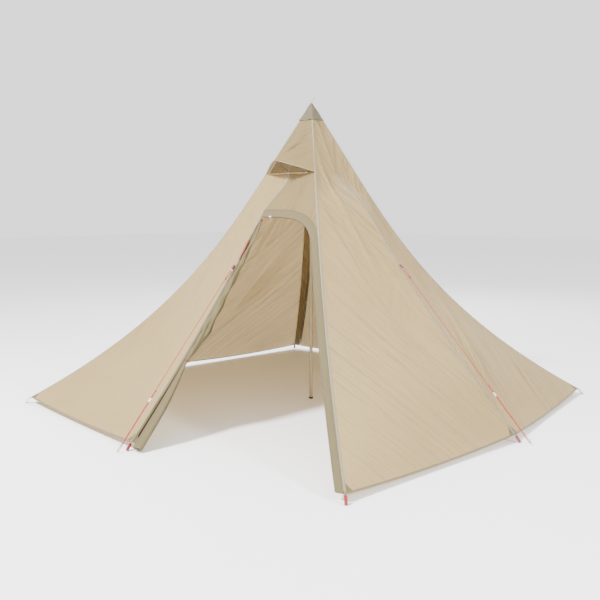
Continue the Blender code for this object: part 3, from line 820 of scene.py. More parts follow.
@dataclass(frozen=True)
class Canopy:
    """The stretched surface that every sewn piece lies on.

    Attributes:
        peak: height of the peak.
        hem: height of the hem at the ridges.
        corner_radius: how far the foot of a corner ridge is from the pole.
        side_radius: how far the foot of a side ridge is from the pole.
        corner_sag: sag of the corner ridges at the peak, and what the depth adds to it.
        side_sag: sag of the side ridges.
        vent_depth: depth of the vents' lower edge.
        side_blend: depth over which a side ridge rises out of the flat face.
        hem_dip: how far the hem dips between two ridges.
        hem_dip_power: how close to the hem the dip stays.
    """

    peak: float = 2.0
    hem: float = 0.04
    corner_radius: float = 1.90
    side_radius: float = 1.51
    corner_sag: tuple[float, float] = (0.28, 0.62)
    side_sag: float = 0.24
    vent_depth: float = 0.24
    side_blend: float = 0.125
    hem_dip: float = 0.018
    hem_dip_power: float = 12.0

    def height(self, depth: Array) -> Array:
        """Return the height at a depth."""
        return mix(self.peak, self.hem, depth)

    def depth_at(self, z: Array | float) -> Array | float:
        """Return the depth at a height."""
        return (self.peak - z) / (self.peak - self.hem)

    def corner_reach(self, depth: Array) -> Array:
        """Return a corner ridge's radius: the full radius times d - d(1-d)(a + b d)."""
        sag = self.corner_sag[0] + self.corner_sag[1] * depth
        return self.corner_radius * (depth - depth * (1.0 - depth) * sag)

    def side_reach(self, depth: Array) -> Array:
        """Return a side ridge's radius.

        Above the vent it is that of the flat face between two corner ridges. Below, it eases
        over to the full radius times d - s d(1-d).

        Args:
            depth: depth of each point.

        Returns:
            The radius at each point.
        """
        flat = self.corner_reach(depth) * math.cos(math.pi / 4)
        pulled = self.side_radius * (depth - self.side_sag * depth * (1.0 - depth))
        return mix(flat, pulled, smooth((depth - self.vent_depth) / self.side_blend))

    def outward(self, ridge: int) -> Array:
        """Return the level direction in which a ridge points."""
        turn = math.radians(45.0 * ridge - 90.0)
        return np.array([math.cos(turn), math.sin(turn), 0.0])

    def sideways(self, ridge: int) -> Array:
        """Return the level direction across a ridge, counter-clockwise."""
        turn = math.radians(45.0 * ridge - 90.0)
        return np.array([-math.sin(turn), math.cos(turn), 0.0])

    def ridge(self, ridge: int, depth: Array | float) -> Array:
        """Return points on a ridge: its radius along its bearing, and the height.

        Args:
            ridge: the ridge's number.
            depth: depth of each point.

        Returns:
            The points.
        """
        depth = np.asarray(depth, float)
        reach = self.corner_reach(depth) if ridge % 2 else self.side_reach(depth)
        return reach[..., None] * self.outward(ridge) + self.height(depth)[..., None] * UP

    def width(self, panel: int, depth: Array) -> Array:
        """Return a panel's level width."""
        return np.linalg.norm(self.ridge(panel + 1, depth) - self.ridge(panel, depth), axis=-1)

    def point(self, panel: int, depth: Array, share: Array, gap: float = SEAM_GAP) -> Array:
        """Return points on a panel.

        The straight line between its ridges, lowered at the hem by 4 s (1-s) d^12 of the dip.

        Args:
            panel: the panel's number.
            depth: depth of each point.
            share: share of each point.
            gap: least distance to a ridge.

        Returns:
            The points.
        """
        depth, share = np.broadcast_arrays(np.asarray(depth, float), np.asarray(share, float))
        edge = gap / self.width(panel, depth)
        held = np.clip(share, edge, 1.0 - edge)
        points = mix(self.ridge(panel, depth), self.ridge(panel + 1, depth), held[..., None])
        points[..., 2] -= self.hem_dip * 4.0 * held * (1.0 - held) * depth ** self.hem_dip_power
        return points

    def normal(self, panel: int, depth: Array, share: Array | float) -> Array:
        """Return a panel's outward normals: the cross product of two short steps on its surface.

        Args:
            panel: the panel's number.
            depth: depth of each point.
            share: share of each point.

        Returns:
            The normals.
        """
        step = 0.002
        share = np.clip(share, 0.02, 0.98)
        across = self.point(panel, depth, share + step) - self.point(panel, depth, share - step)
        down = self.point(panel, depth + step, share) - self.point(panel, depth - step, share)
        return unit(np.cross(down, across))

    def across_ridge(self, ridge: int, depth: Array, offset: Array, lift: Array | float
                     ) -> Array:
        """Return points beside a ridge, on the panel that lies on their side of it.

        Args:
            ridge: the ridge's number.
            depth: depth of each point.
            offset: distance from the ridge, negative on the panel before it.
            lift: distance above the cloth.

        Returns:
            The points.
        """
        before = (ridge - 1) % RIDGES
        away = np.abs(offset)
        left = self.point(before, depth, 1.0 - away / self.width(before, depth), gap=0.0)
        right = self.point(ridge, depth, away / self.width(ridge, depth), gap=0.0)
        base = np.where((offset < 0)[..., None], left, right)
        normal = unit(self.normal(before, depth, 0.9) + self.normal(ridge, depth, 0.1))
        return base + normal * np.broadcast_to(lift, offset.shape)[..., None]


@dataclass(frozen=True)
class Creases:
    """Long soft folds of stretched cloth on a panel laid flat.

    Attributes:
        starts: one end of each fold, across and down, in metres.
        ends: the other end of each fold.
        widths: half-width of each fold.
        heights: height of each fold, negative for a groove.
        bows: how far the middle of each fold stands off its straight line.
    """

    starts: Array
    ends: Array
    widths: Array
    heights: Array
    bows: Array

    def relief(self, across: Array, down: Array) -> Array:
        """Return the height of the folds.

        Each fold is h exp(-(o/w)^2) sin(pi t)^0.7, with t the share along it and o the distance
        from its bowed line.

        Args:
            across: distance across the panel.
            down: distance down the panel.

        Returns:
            The sum of all folds at each point.
        """
        total = np.zeros_like(across)
        run = self.ends - self.starts
        long = np.linalg.norm(run, axis=1)
        for start, way, size, wide, high, bow in zip(self.starts, run, long, self.widths,
                                                     self.heights, self.bows):
            x = across - start[0]
            y = down - start[1]
            t = np.clip((x * way[0] + y * way[1]) / size ** 2, 0.0, 1.0)
            off = (x * way[1] - y * way[0]) / size + bow * np.sin(math.pi * t)
            total += high * np.exp(-(off / wide) ** 2) * np.sin(math.pi * t) ** 0.7
        return total


@dataclass(frozen=True)
class Fan:
    """A set of folds between two lines on a panel.

    A place on a panel is a share of the way from its corner ridge to its side ridge, and a depth.

    Attributes:
        start: the two ends of the line where the folds start.
        end: the two ends of the line where the folds end.
        count: number of folds.
        width: least and most half-width.
        steep: height as a part of the half-width, on a panel with a pull of 1.
        bow: usual bow.
        pulled: whether a panel's pull makes the folds higher.
    """

    start: tuple[tuple[float, float], tuple[float, float]]
    end: tuple[tuple[float, float], tuple[float, float]]
    count: int
    width: tuple[float, float]
    steep: float
    bow: float
    pulled: bool = True


FANS = (
    Fan(((0.02, 0.26), (0.10, 0.66)), ((0.60, 0.70), (0.97, 0.97)), 30, (0.012, 0.040), 0.15,
        0.02),
    Fan(((0.02, 0.08), (0.30, 0.24)), ((0.45, 0.48), (0.95, 0.72)), 16, (0.008, 0.020), 0.15,
        0.01),
    Fan(((0.01, 0.42), (0.03, 0.92)), ((0.08, 0.50), (0.20, 0.99)), 12, (0.010, 0.022), 0.12,
        0.006, pulled=False),
    Fan(((0.97, 0.52), (0.99, 0.60)), ((0.50, 0.66), (0.90, 0.96)), 8, (0.008, 0.020), 0.12,
        0.008),
)
USUAL_PULL = 1.2
PULLS = {
    Whole.RIGHT_FRONT_PANEL.value: 1.6,
    Whole.BACK_RIGHT_PANEL.value: 0.9,
    Whole.LEFT_BACK_PANEL.value: 1.6,
    Whole.FRONT_LEFT_PANEL.value: 0.8,
}


# ---------------------------------------------------------------- panels


@dataclass
class PanelCloth:
    """The whole panels, each a stretched sheet with tension folds.

    Attributes:
        canopy: the surface.
        wardrobe: the finishes.
        top_depth: depth at which the panels start.
        rows: steps down a panel.
        columns: steps across a panel.
        thickness: thickness of the cloth.
        belly: how far the middle of a panel hangs in.
        ridge_margin: distance from a ridge over which the folds grow.
        hem_margin: depth above the hem over which the folds grow.
        side_lean: lean of the fine folds.
        doorway_lean: lean of the fine folds on panels with a doorway.
        fine_height: height of the fine folds.
        vent_height: height of the fine folds on panels beside a vent.
        seed: seed of the draws.
    """

    canopy: Canopy
    wardrobe: Wardrobe
    top_depth: float = 0.04
    rows: int = 210
    columns: int = 110
    thickness: float = 0.0009
    belly: float = 0.008
    ridge_margin: float = 0.035
    hem_margin: float = 0.02
    side_lean: float = math.radians(26.0)
    doorway_lean: float = math.radians(8.0)
    fine_height: float = 0.034
    vent_height: float = 0.018
    seed: int = 7

    def laid_flat(self, panel: int, points: Array) -> Array:
        """Lay points of a panel flat, seen square to its middle.

        Args:
            panel: the panel's number.
            points: the points.

        Returns:
            Distance across and distance down of each point.
        """
        first, second = self.canopy.ridge(panel, 1.0), self.canopy.ridge(panel + 1, 1.0)
        across = unit(second - first)
        down = (second + first) / 2 - self.canopy.ridge(panel, 0.0)
        down = unit(down - across * float(down @ across))
        return np.stack([points @ across, points @ down], axis=-1)

    def creases(self, panel: int) -> Creases:
        """Draw a panel's folds: between the two lines of each fan, a little out of step.

        Args:
            panel: the panel's number, which also seeds the draw.

        Returns:
            The folds.
        """
        draw = np.random.default_rng(self.seed + panel)
        pull = PULLS.get(panel, USUAL_PULL)
        starts, ends, widths, heights, bows = [], [], [], [], []
        for fan in FANS:
            place = np.sort(draw.random(fan.count))
            spread = np.clip(place + draw.normal(0.0, 0.07, fan.count), 0.0, 1.0)
            for store, (low, high), share in ((starts, fan.start, place), (ends, fan.end, spread)):
                inward = mix(low[0], high[0], share)
                across = inward if panel % 2 else 1.0 - inward
                depth = mix(low[1], high[1], share)
                store.append(self.laid_flat(panel, self.canopy.point(panel, depth, across)))
            wide = mix(*fan.width, draw.random(fan.count))
            widths.append(wide)
            sign = np.where(draw.random(fan.count) < 0.62, 1.0, -0.8)
            steep = fan.steep * pull if fan.pulled else fan.steep
            heights.append(sign * wide * steep * mix(0.5, 1.2, draw.random(fan.count)))
            bows.append(fan.bow * draw.normal(0.0, 1.0, fan.count))
        return Creases(np.vstack(starts), np.vstack(ends), np.concatenate(widths),
                       np.concatenate(heights), np.concatenate(bows))

    def relief(self, panel: int, flat: Array, share: Array, depth: Array) -> Array:
        """Return a panel's relief: its folds less 4 s (1-s) sin(pi d) of the belly.

        Both fade out at the ridges and at the hem.

        Args:
            panel: the panel's number.
            flat: its points laid flat.
            share: their shares.
            depth: their depths.

        Returns:
            The height above the smooth surface.
        """
        folds = self.creases(panel).relief(flat[..., 0], flat[..., 1])
        width = self.canopy.width(panel, depth)
        edge = smooth(np.minimum(share, 1.0 - share) * width / self.ridge_margin)
        ends = smooth((1.0 - depth) / self.hem_margin)
        hollow = self.belly * 4.0 * share * (1.0 - share) * np.sin(math.pi * depth)
        return edge * ends * (folds - hollow)

    def finish(self, panel: int, strip: bool) -> bpy.types.Material:
        """Return a sheet's finish, with fine folds that lean towards the middle of the side.

        Args:
            panel: the panel's number.
            strip: whether the sheet is a strip over a doorway, which takes the cloth darkened as
                painted shade.

        Returns:
            The material.
        """
        lean = self.side_lean if panel % 2 else -self.side_lean
        if panel in (Side.FRONT.value, Side.BACK.value):
            lean = -self.doorway_lean
        height = self.vent_height if panel in BESIDE_VENT else self.fine_height
        # A strip over a doorway takes the canopy cloth darkened as painted shade.
        return self.wardrobe.folded(PAINTED_SHADE_CANOPY if strip else CANOPY, lean, height)

    def cloth(self, name: str, panel: int, points: Array, share: Array, depth: Array,
              strip: bool = False, rides: str = "canopy") -> bpy.types.Object:
        """Make one sewn sheet with the panel's relief and measure its cut.

        Args:
            name: the node that it stands for.
            panel: the panel's number.
            points: the sheet's points on the canopy.
            share: their shares.
            depth: their depths.
            strip: whether the sheet is a bent strip, whose cut is its mean width by its length.
            rides: the body that it rides on, or nothing if it bends.

        Returns:
            The sheet.
        """
        flat = self.laid_flat(panel, points)
        relief = self.relief(panel, flat, share, depth)
        raised = points + surface_normals(points) * relief[..., None]
        piece = make_piece(name + "_cloth", raised, scale=(flat[..., 0], flat[..., 1]))
        dress(piece, self.finish(panel, strip), "canopy_fabric", rides=rides, replaces=name,
              thickness=self.thickness)
        area = sheet_area(points)
        wide, long = np.ptp(flat.reshape(-1, 2), axis=0)
        if strip:
            long = lengths_along(points[:, points.shape[1] // 2])[-1]
            wide = area / long
        return piece

    def build(self) -> None:
        """Make the six whole panels."""
        for panel in Whole:
            top = self.canopy.vent_depth if panel.value in BESIDE_VENT else self.top_depth
            down, share = grid(self.rows, self.columns)
            depth = mix(top, 1.0, down)
            points = self.canopy.point(panel.value, depth, share)
            self.cloth(panel.name.lower(), panel.value, points, share, depth)


@dataclass
class SeamTapes:
    """Felled seams along the ridges.

    Attributes:
        canopy: the surface.
        wardrobe: the finishes.
        width: width of a tape.
        thickness: thickness of a tape.
        lift: how far its middle stands off the cloth.
        pucker: height of the puckers along it.
        cap_depth: depth at which the corner tapes leave the cap.
        rows: steps down a tape.
    """

    canopy: Canopy
    wardrobe: Wardrobe
    width: float = 0.017
    thickness: float = 0.0012
    lift: float = 0.0016
    pucker: float = 0.0004
    cap_depth: float = 0.052
    rows: int = 260

    def build(self) -> None:
        """Make one tape on each ridge: from the cap on corners, from the vent on sides.

        Its section is flat-topped, 1 - x^6 of the lift, with a sine of puckers along it.
        """
        for ridge in range(RIDGES):
            top = self.cap_depth if ridge % 2 else self.canopy.vent_depth
            down, across = grid(self.rows, 8)
            offset = (across - 0.5) * self.width
            pucker = self.pucker * np.sin(down * 620.0 + 3.0 * ridge) * np.sin(math.pi * across)
            lift = self.lift * (1.0 - (2.0 * across - 1.0) ** 6) + pucker
            points = self.canopy.across_ridge(ridge, mix(top, 0.998, down), offset, lift)
            along = lengths_along(points[:, 4])[:, None] + 0.0 * across
            piece = make_piece(f"seam_tape_{ridge}", points, scale=(offset, along))
            dress(piece, self.wardrobe.wear(TAPE), "trim_fabric", rides="canopy",
                  thickness=self.thickness)


@dataclass
class HemBindings:
    """Bindings folded over the hems of the whole panels.

    Attributes:
        canopy: the surface.
        wardrobe: the finishes.
        reach: how far a binding reaches up the cloth.
        thickness: thickness of its cloth.
        rise: its section, as parts of the reach up from the hem.
        proud: its section, in millimetres out from the cloth.
        columns: steps along a hem.
    """

    canopy: Canopy
    wardrobe: Wardrobe
    reach: float = 0.011
    thickness: float = 0.0005
    rise: tuple[float, ...] = (1.0, 0.7, 0.36, 0.10, 0.02, 0.02, 0.10, 0.36, 0.7, 1.0)
    proud: tuple[float, ...] = (0.6, 1.1, 1.3, 1.1, 0.4, -1.1, -1.9, -2.2, -2.0, -1.5)
    columns: int = 90

    def build(self) -> None:
        """Carry the folded section along each hem, with its rows round the fold."""
        rise = np.array(self.rise) * self.reach
        proud = np.array(self.proud) * 0.001
        for panel in Whole:
            share = np.linspace(0.0, 1.0, self.columns + 1)
            depth = np.ones_like(share)
            line = self.canopy.point(panel.value, depth, share)
            up = unit(self.canopy.point(panel.value, depth - 0.004, share) - line)
            out = self.canopy.normal(panel.value, depth - 0.004, share)
            points = line[None] + rise[:, None, None] * up[None] + proud[:, None, None] * out[None]
            piece = make_piece("hem_binding_" + panel.name.lower().removesuffix("_panel"), points)
            dress(piece, self.wardrobe.wear(BINDING), "trim_fabric", rides="canopy",
                  thickness=self.thickness)


@dataclass
class FootPatches:
    """Triangular patches that take the pull at the foot of each ridge.

    Attributes:
        canopy: the surface.
        wardrobe: the finishes.
        height: length of a patch along its ridge.
        half_width: how far its base reaches from the ridge.
        tip: half the width of its top.
        thickness: thickness of its cloth.
        lift: how far it stands off the cloth.
    """

    canopy: Canopy
    wardrobe: Wardrobe
    height: float = 0.060
    half_width: float = 0.046
    tip: float = 0.005
    thickness: float = 0.0007
    lift: float = 0.0011

    def build(self) -> None:
        """Make a patch across each ridge's foot, narrower towards its top."""
        for ridge in range(RIDGES):
            up, across = grid(14, 20)
            slant = float(np.linalg.norm(self.canopy.ridge(ridge, 1.0)
                                         - self.canopy.ridge(ridge, 0.98)))
            depth = 0.9985 - up * self.height * 0.02 / slant
            offset = (2.0 * across - 1.0) * (self.half_width * (1.0 - up) + self.tip)
            points = self.canopy.across_ridge(ridge, depth[::-1], offset[::-1], self.lift)
            dress(make_piece(f"foot_patch_{ridge}", points), self.wardrobe.wear(TRIM),
                  "trim_fabric", rides="canopy", thickness=self.thickness)


# ---------------------------------------------------------------- doorways


@dataclass
class Doorway:
    """One doorway: its cloth over the arch, storm flap, zip and bindings.

    Attributes:
        canopy: the surface.
        wardrobe: the finishes.
        panels: the maker of sheets.
        side: the side that the doorway is in.
        arch_base: height at which the arch ends and the straight edge starts.
        arch_rise: height of the arch over its base.
        flap_width: width of the cloth between the doorway and the corner ridge.
        bend: how far along the edge the arch ends.
        rim: how far along the edge the cloth's outer side turns the vent's corner.
        track_inset: distance from the edge to the middle of the zip.
        track_end: how far along the edge the zip ends.
        lap: how far the storm flap reaches over the opening.
        band: how far it reaches over the cloth.
        flap_lift: how far it stands off the cloth.
        border_lift: how far its borders stand off the cloth.
        jamb: where the jamb's binding starts and ends, from the ridge.
        tape_behind: how far the zip's tape lies behind the cloth.
        coil_behind: how far the coil lies behind the cloth.
        coil_radius: radius of the coil.
        coil_pitch: length of one of its turns.
        wire_radius: radius of its wire.
    """

    canopy: Canopy
    wardrobe: Wardrobe
    panels: PanelCloth
    side: Side
    arch_base: float = 1.04
    arch_rise: float = 0.216
    flap_width: float = 0.05
    bend: float = 12 / 28
    rim: float = 6 / 28
    track_inset: float = 0.0045
    track_end: float = 0.985
    lap: float = 0.0035
    band: float = 0.040
    flap_lift: float = 0.0018
    border_lift: float = 0.0028
    jamb: tuple[float, float] = (0.0035, 0.017)
    tape_behind: float = 0.0030
    coil_behind: float = 0.0010
    coil_radius: float = 0.0017
    coil_pitch: float = 0.0032
    wire_radius: float = 0.0005

    @property
    def panel(self) -> int:
        """Number of the panel that the doorway is in."""
        return self.side.value

    @property
    def word(self) -> str:
        """The side's name, as the pieces' names start."""
        return self.side.name.lower()

    def edge(self, part: Array, inset: float) -> tuple[Array, Array]:
        """Return depth and share on the doorway's edge.

        First a quarter of the oval x^4 + y^4 = 1, read by its angle, and then a line straight
        down beside the corner ridge.

        Args:
            part: how far along the edge each point is.
            inset: distance into the opening, negative out of it.

        Returns:
            Depth and share of each point.
        """
        angle = math.pi / 2 * np.clip(part / self.bend, 0.0, 1.0)
        swell = (np.sin(angle) ** 4 + np.cos(angle) ** 4) ** 0.25
        arch_z = self.arch_base + (self.arch_rise - inset) * np.cos(angle) / swell
        leg_z = mix(self.arch_base, self.canopy.hem, (part - self.bend) / (1.0 - self.bend))
        on_arch = part < self.bend
        z = np.where(on_arch, arch_z, leg_z)
        across = np.where(on_arch, np.sin(angle) / swell, 1.0)
        depth = self.canopy.depth_at(z)
        width = self.canopy.width(self.panel, depth)
        return depth, across * (width - self.flap_width - inset) / width

    def strip(self, part: Array, over: Array, insets: tuple[float, float]
              ) -> tuple[Array, Array]:
        """Return depth and share on a strip along the edge.

        Args:
            part: how far along the edge each point is.
            over: how far each point is from the first inset to the second.
            insets: the strip's two sides.

        Returns:
            Depth and share of each point.
        """
        first, second = (self.edge(part, inset) for inset in insets)
        return mix(first[0], second[0], over), mix(first[1], second[1], over)

    def lifted(self, depth: Array, share: Array, lift: Array | float) -> Array:
        """Return points of the panel, lifted off the cloth.

        Args:
            depth: depth of each point.
            share: share of each point.
            lift: distance above the cloth, negative behind it.

        Returns:
            The points.
        """
        points = self.canopy.point(self.panel, depth, share)
        return points + self.canopy.normal(self.panel, depth, share) * np.asarray(lift)[..., None]

    def build_cloth(self) -> None:
        """Make the panel's cloth: a loft from the doorway's edge to the vent and corner ridge."""
        part, up = grid(260, 60)
        inner_depth, inner_share = self.edge(part, 0.0)
        over = part < self.rim
        leg = mix(self.canopy.vent_depth, 1.0, (part - self.rim) / (1.0 - self.rim))
        depth = mix(inner_depth, np.where(over, self.canopy.vent_depth, leg), up)
        share = mix(inner_share, np.where(over, part / self.rim, 1.0), up)
        points = self.canopy.point(self.panel, depth, share)
        # As a strip it takes the canopy cloth darkened as painted shade.
        self.panels.cloth(f"{self.word}_doorway_panel", self.panel, points, share, depth,
                          strip=True)

    def build_flap(self) -> None:
        """Make the storm flap: a strip along the doorway's edge, rippled and a little domed."""
        part, out = grid(300, 14)
        depth, share = self.strip(part, out, (self.lap, -self.band))
        dome = np.sin(math.pi * out)
        ripple = 0.0006 * np.sin(part * 210.0 + 2.0 * np.sin(part * 31.0))
        lift = self.flap_lift + (ripple + 0.0012) * dome
        piece = make_piece(f"{self.word}_storm_flap", self.lifted(depth, share, lift))
        dress(piece, self.wardrobe.wear(TRIM), "trim_fabric", rides="canopy", thickness=0.0009)

    def build_jamb(self) -> None:
        """Make the binding down the doorway's other edge, beside its ridge."""
        down, across = grid(200, 8)
        depth = mix(self.canopy.depth_at(self.arch_base + self.arch_rise), 0.998, down)
        lift = 0.0022 + 0.002 * np.sin(math.pi * across)
        points = self.canopy.across_ridge(self.panel, depth, mix(*self.jamb, across), lift)
        dress(make_piece(f"{self.word}_jamb_binding", points), self.wardrobe.wear(TRIM),
              "trim_fabric", rides="canopy", thickness=0.0012)

    def build_borders(self) -> None:
        """Make the flap's two corded borders."""
        for word, inset, radius in (("inner", 0.0030, 0.0016), ("outer", -self.band, 0.0014)):
            depth, share = self.edge(np.linspace(0.0, 1.0, 240), inset)
            path = self.lifted(depth, share, self.border_lift)
            rings = tube_rings(path, radius, self.canopy.normal(self.panel, depth, share), 8)
            dress(make_tube(f"{self.word}_flap_{word}_border", rings),
                  self.wardrobe.wear(BINDING), "trim_fabric", rides="canopy")

    def build_tape(self, name: str, start: float, steps: tuple[int, int],
                   insets: tuple[float, float], rides: str = "") -> bpy.types.Object:
        """Make one half of the zip's tape: a strip behind the edge.

        Args:
            name: the piece's name.
            start: how far along the edge it starts.
            steps: steps along and across it.
            insets: its two sides.
            rides: the body that it rides on, or nothing if it bends.

        Returns:
            The tape.
        """
        down, over = grid(*steps)
        depth, share = self.strip(mix(start, self.track_end, down), over, insets)
        tape = make_piece(name, self.lifted(depth, share, -self.tape_behind)[:, ::-1])
        return dress(tape, self.wardrobe.wear(ZIP), "zip_tape", rides=rides, thickness=0.0007,
                     offset=0.0)

    def build_coil(self) -> None:
        """Make the zip's coil: a helix of wire round the track."""
        depth, share = self.edge(np.linspace(0.0, self.track_end, 400), self.track_inset)
        middle = self.lifted(depth, share, -self.coil_behind)
        run = lengths_along(middle)
        steps = np.linspace(0.0, run[-1], int(run[-1] / self.coil_pitch) * 8)
        path = read_along(steps, run, middle)
        along = unit(np.gradient(path, axis=0))
        normals = self.canopy.normal(self.panel, depth, share)
        out = square_to(read_along(steps, run, normals), along)
        turn = steps[:, None] / self.coil_pitch * 2.0 * math.pi
        wound = path + self.coil_radius * (np.cos(turn) * out + np.sin(turn) * np.cross(out, along))
        rings = tube_rings(wound, self.wire_radius, out + 0.3 * along, 4)
        dress(make_tube(f"{self.word}_zip_coil", rings), self.wardrobe.wear(ZIP), "zip_tape",
              rides="canopy", replaces=f"{self.word}_zip_track")

    def build(self) -> None:
        """Make every piece of the doorway."""
        self.build_cloth()
        self.build_flap()
        self.build_jamb()
        self.build_borders()
        self.build_tape(f"{self.word}_zip_tape", 0.0, (300, 4), (-0.006, self.track_inset),
                        rides="canopy")
        self.build_coil()


@dataclass
class BackDoor:
    """The back door's leaf, zipped shut and free to swing about its sewn edge.

    Attributes:
        doorway: the doorway that it shuts.
        panels: the maker of sheets.
        inset: how far it stays from the doorway's edge.
        bend: distances from the ridge between which it bends; not used.
    """

    doorway: Doorway
    panels: PanelCloth
    inset: float = 0.0085
    bend: tuple[float, float] = (0.006, 0.14)

    def share_at(self, z: Array) -> Array:
        """Return the share of the panel that the leaf takes.

        Its free edge is the doorway's, moved in: (1 - r^4)^(1/4) of the width, with r the share
        of the arch's rise.

        Args:
            z: height of each point.

        Returns:
            The share at which its free edge is.
        """
        way = self.doorway
        rise = np.clip((z - way.arch_base) / (way.arch_rise - self.inset), 0.0, 1.0)
        across = np.clip(1.0 - rise ** 4, 0.0, 1.0) ** 0.25
        width = way.canopy.width(way.panel, way.canopy.depth_at(z))
        return across * (width - way.flap_width - self.inset) / width

    def build(self) -> None:
        """Make the leaf and its half of the zip's tape."""
        way = self.doorway
        down, across = grid(170, 100)
        top = way.arch_base + way.arch_rise - self.inset - 0.0015
        z = mix(way.canopy.hem, top, 1.0 - down ** 1.6)
        share = across * self.share_at(z)
        depth = way.canopy.depth_at(z)
        points = way.canopy.point(way.panel, depth, share)
        leaf = self.panels.cloth("back_door", way.panel, points, share, depth, rides="")
        tape = way.build_tape("back_door_zip_tape", 0.02, (299, 3),
                              (way.track_inset + 0.001, 0.015))
        for piece in (leaf, tape):
            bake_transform(piece)


@dataclass
class RolledDoor:
    """The front door rolled up beside the front ridge, tied at knee height.

    Attributes:
        doorway: the doorway that it opens.
        wardrobe: the finishes.
        profile: height and radius of the roll, from its top down.
        side_gap: distance from the ridge to the roll's side.
        inboard: how far its middle lies behind the ridge, as a part of the radius.
        tie_height: height of the tie.
        turns: turns of cloth.
        lobes: how deep the tie gathers it.
        crush: how crumpled it is above the tie.
        flare: how wavy it is below the tie.
        squeeze: its depth below the tie, as a part of its width.
        thickness: thickness of the cloth.
    """

    doorway: Doorway
    wardrobe: Wardrobe
    profile: tuple[tuple[float, float], ...] = (
        (1.225, 0.004), (1.15, 0.009), (1.05, 0.011), (0.90, 0.014), (0.78, 0.018),
        (0.66, 0.022), (0.56, 0.021), (0.50, 0.016), (0.44, 0.0108), (0.385, 0.017),
        (0.30, 0.026), (0.20, 0.034), (0.10, 0.038), (0.019, 0.040),
    )
    side_gap: float = 0.021
    inboard: float = 0.4
    tie_height: float = 0.44
    turns: float = 1.42
    lobes: float = 0.16
    crush: float = 0.30
    flare: float = 0.04
    squeeze: float = 0.50
    thickness: float = 0.0012

    def middle(self, z: Array, radius: Array) -> Array:
        """Return the roll's middle line: beside the front ridge and a little behind it.

        Args:
            z: height of each point.
            radius: the roll's radius there.

        Returns:
            The points.
        """
        canopy = self.doorway.canopy
        return (canopy.ridge(0, canopy.depth_at(z))
                + (radius + self.side_gap)[:, None] * canopy.sideways(0)
                - (self.inboard * radius)[:, None] * canopy.outward(0))

    def swell(self, z: Array, angle: Array, above: Array) -> Array:
        """Return how far the roll departs from round.

        It is the sum of seven lobes that fade with exp(-((z - tie) / w)^2), of crossed sines
        above the tie, and of a slow wave below it.

        Args:
            z: height of each row.
            angle: angle of each point round the roll.
            above: 1 above the tie and 0 below it.

        Returns:
            The factor on the radius.
        """
        near_tie = np.exp(-((z - self.tie_height) / 0.055) ** 2)
        lobes = np.sin(7.0 * angle + 9.0 * z) * self.lobes * near_tie
        crush = self.crush * above * (np.sin(3.0 * angle - 26.0 * z) * np.sin(11.0 * z + 1.3)
                                      + 0.6 * np.sin(2.0 * angle + 47.0 * z))
        flare = self.flare * (1.0 - above) * np.sin(2.0 * angle + 5.0 * z)
        return 1.0 + lobes + crush + flare

    def build_roll(self, z: Array, radius: Array, middle: Array) -> Array:
        """Make the roll: a spiral of cloth carried down its middle line.

        Args:
            z: height of each row.
            radius: radius of each row.
            middle: middle of each row.

        Returns:
            The roll's points.
        """
        along = unit(np.gradient(middle, axis=0))
        side = square_to(np.broadcast_to(self.doorway.canopy.sideways(0), middle.shape), along)
        out = np.cross(along, side)
        turn = np.linspace(0.0, self.turns, 120)[None, :]
        row = z[:, None]
        angle = 2.45 + 0.7 * np.sin((1.2 - row) * 2.6) + 2.0 * math.pi * turn
        above = smooth((row - self.tie_height + 0.02) / 0.10)
        shell = mix(0.62, 1.0, turn / self.turns)
        reach = radius[:, None] * shell * self.swell(row, angle, above)
        squeeze = mix(1.0, self.squeeze, 1.0 - above)
        points = (middle[:, None] + (reach * np.cos(angle))[..., None] * side[:, None]
                  + (reach * squeeze * np.sin(angle))[..., None] * out[:, None])
        run = lengths_along(middle)[:, None] + 0.0 * reach
        roll = make_piece("front_door_cloth", points, scale=(radius[:, None] * angle, run))
        dress(roll, self.wardrobe.wear(TRIM), "canopy_fabric", rides="front_door",
              replaces="front_door_roll", thickness=self.thickness)
        return points

    def build_margin(self, z: Array, middle: Array) -> None:
        """Make the margin of cloth between the ridge and the roll, which hangs a little in and
        wears the dark binding cloth as painted shade in the crease.

        Args:
            z: height of each point of the roll's middle line.
            middle: the roll's middle line.
        """
        canopy = self.doorway.canopy
        down, across = grid(200, 10)
        depth = mix(canopy.depth_at(1.25), 0.998, down)
        base = canopy.across_ridge(0, depth, 0.002 + 0.0 * across, -0.010)
        order = np.argsort(z)
        height = np.clip(canopy.height(depth), z.min(), z.max())
        target = read_along(height, z[order], middle[order])
        sag = np.sin(math.pi * across) * (0.004 + 0.002 * np.sin(40.0 * down))
        inward = (sag + 0.012 * across)[..., None] * canopy.outward(0)
        points = mix(base, target, (across * 0.7)[..., None]) - inward
        margin = make_piece("front_door_margin", points)
        # The dark binding cloth stands in for the shadow in the crease beside the roll: painted
        # shade.
        dress(margin, self.wardrobe.wear(BINDING), "canopy_fabric", thickness=0.0009)
        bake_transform(margin)

    def build(self) -> None:
        """Make the roll, the cord in its hem and its margin."""
        z, radius = flowing(self.profile, 340).T
        middle = self.middle(z, radius)
        points = self.build_roll(z, radius, middle)
        hem = make_tube("front_door_hem", tube_rings(points[-1, 40:], 0.0018, UP, 8))
        dress(hem, self.wardrobe.wear(BINDING), "trim_fabric", rides="front_door")
        self.build_margin(z, middle)


# ---------------------------------------------------------------- vents and apex


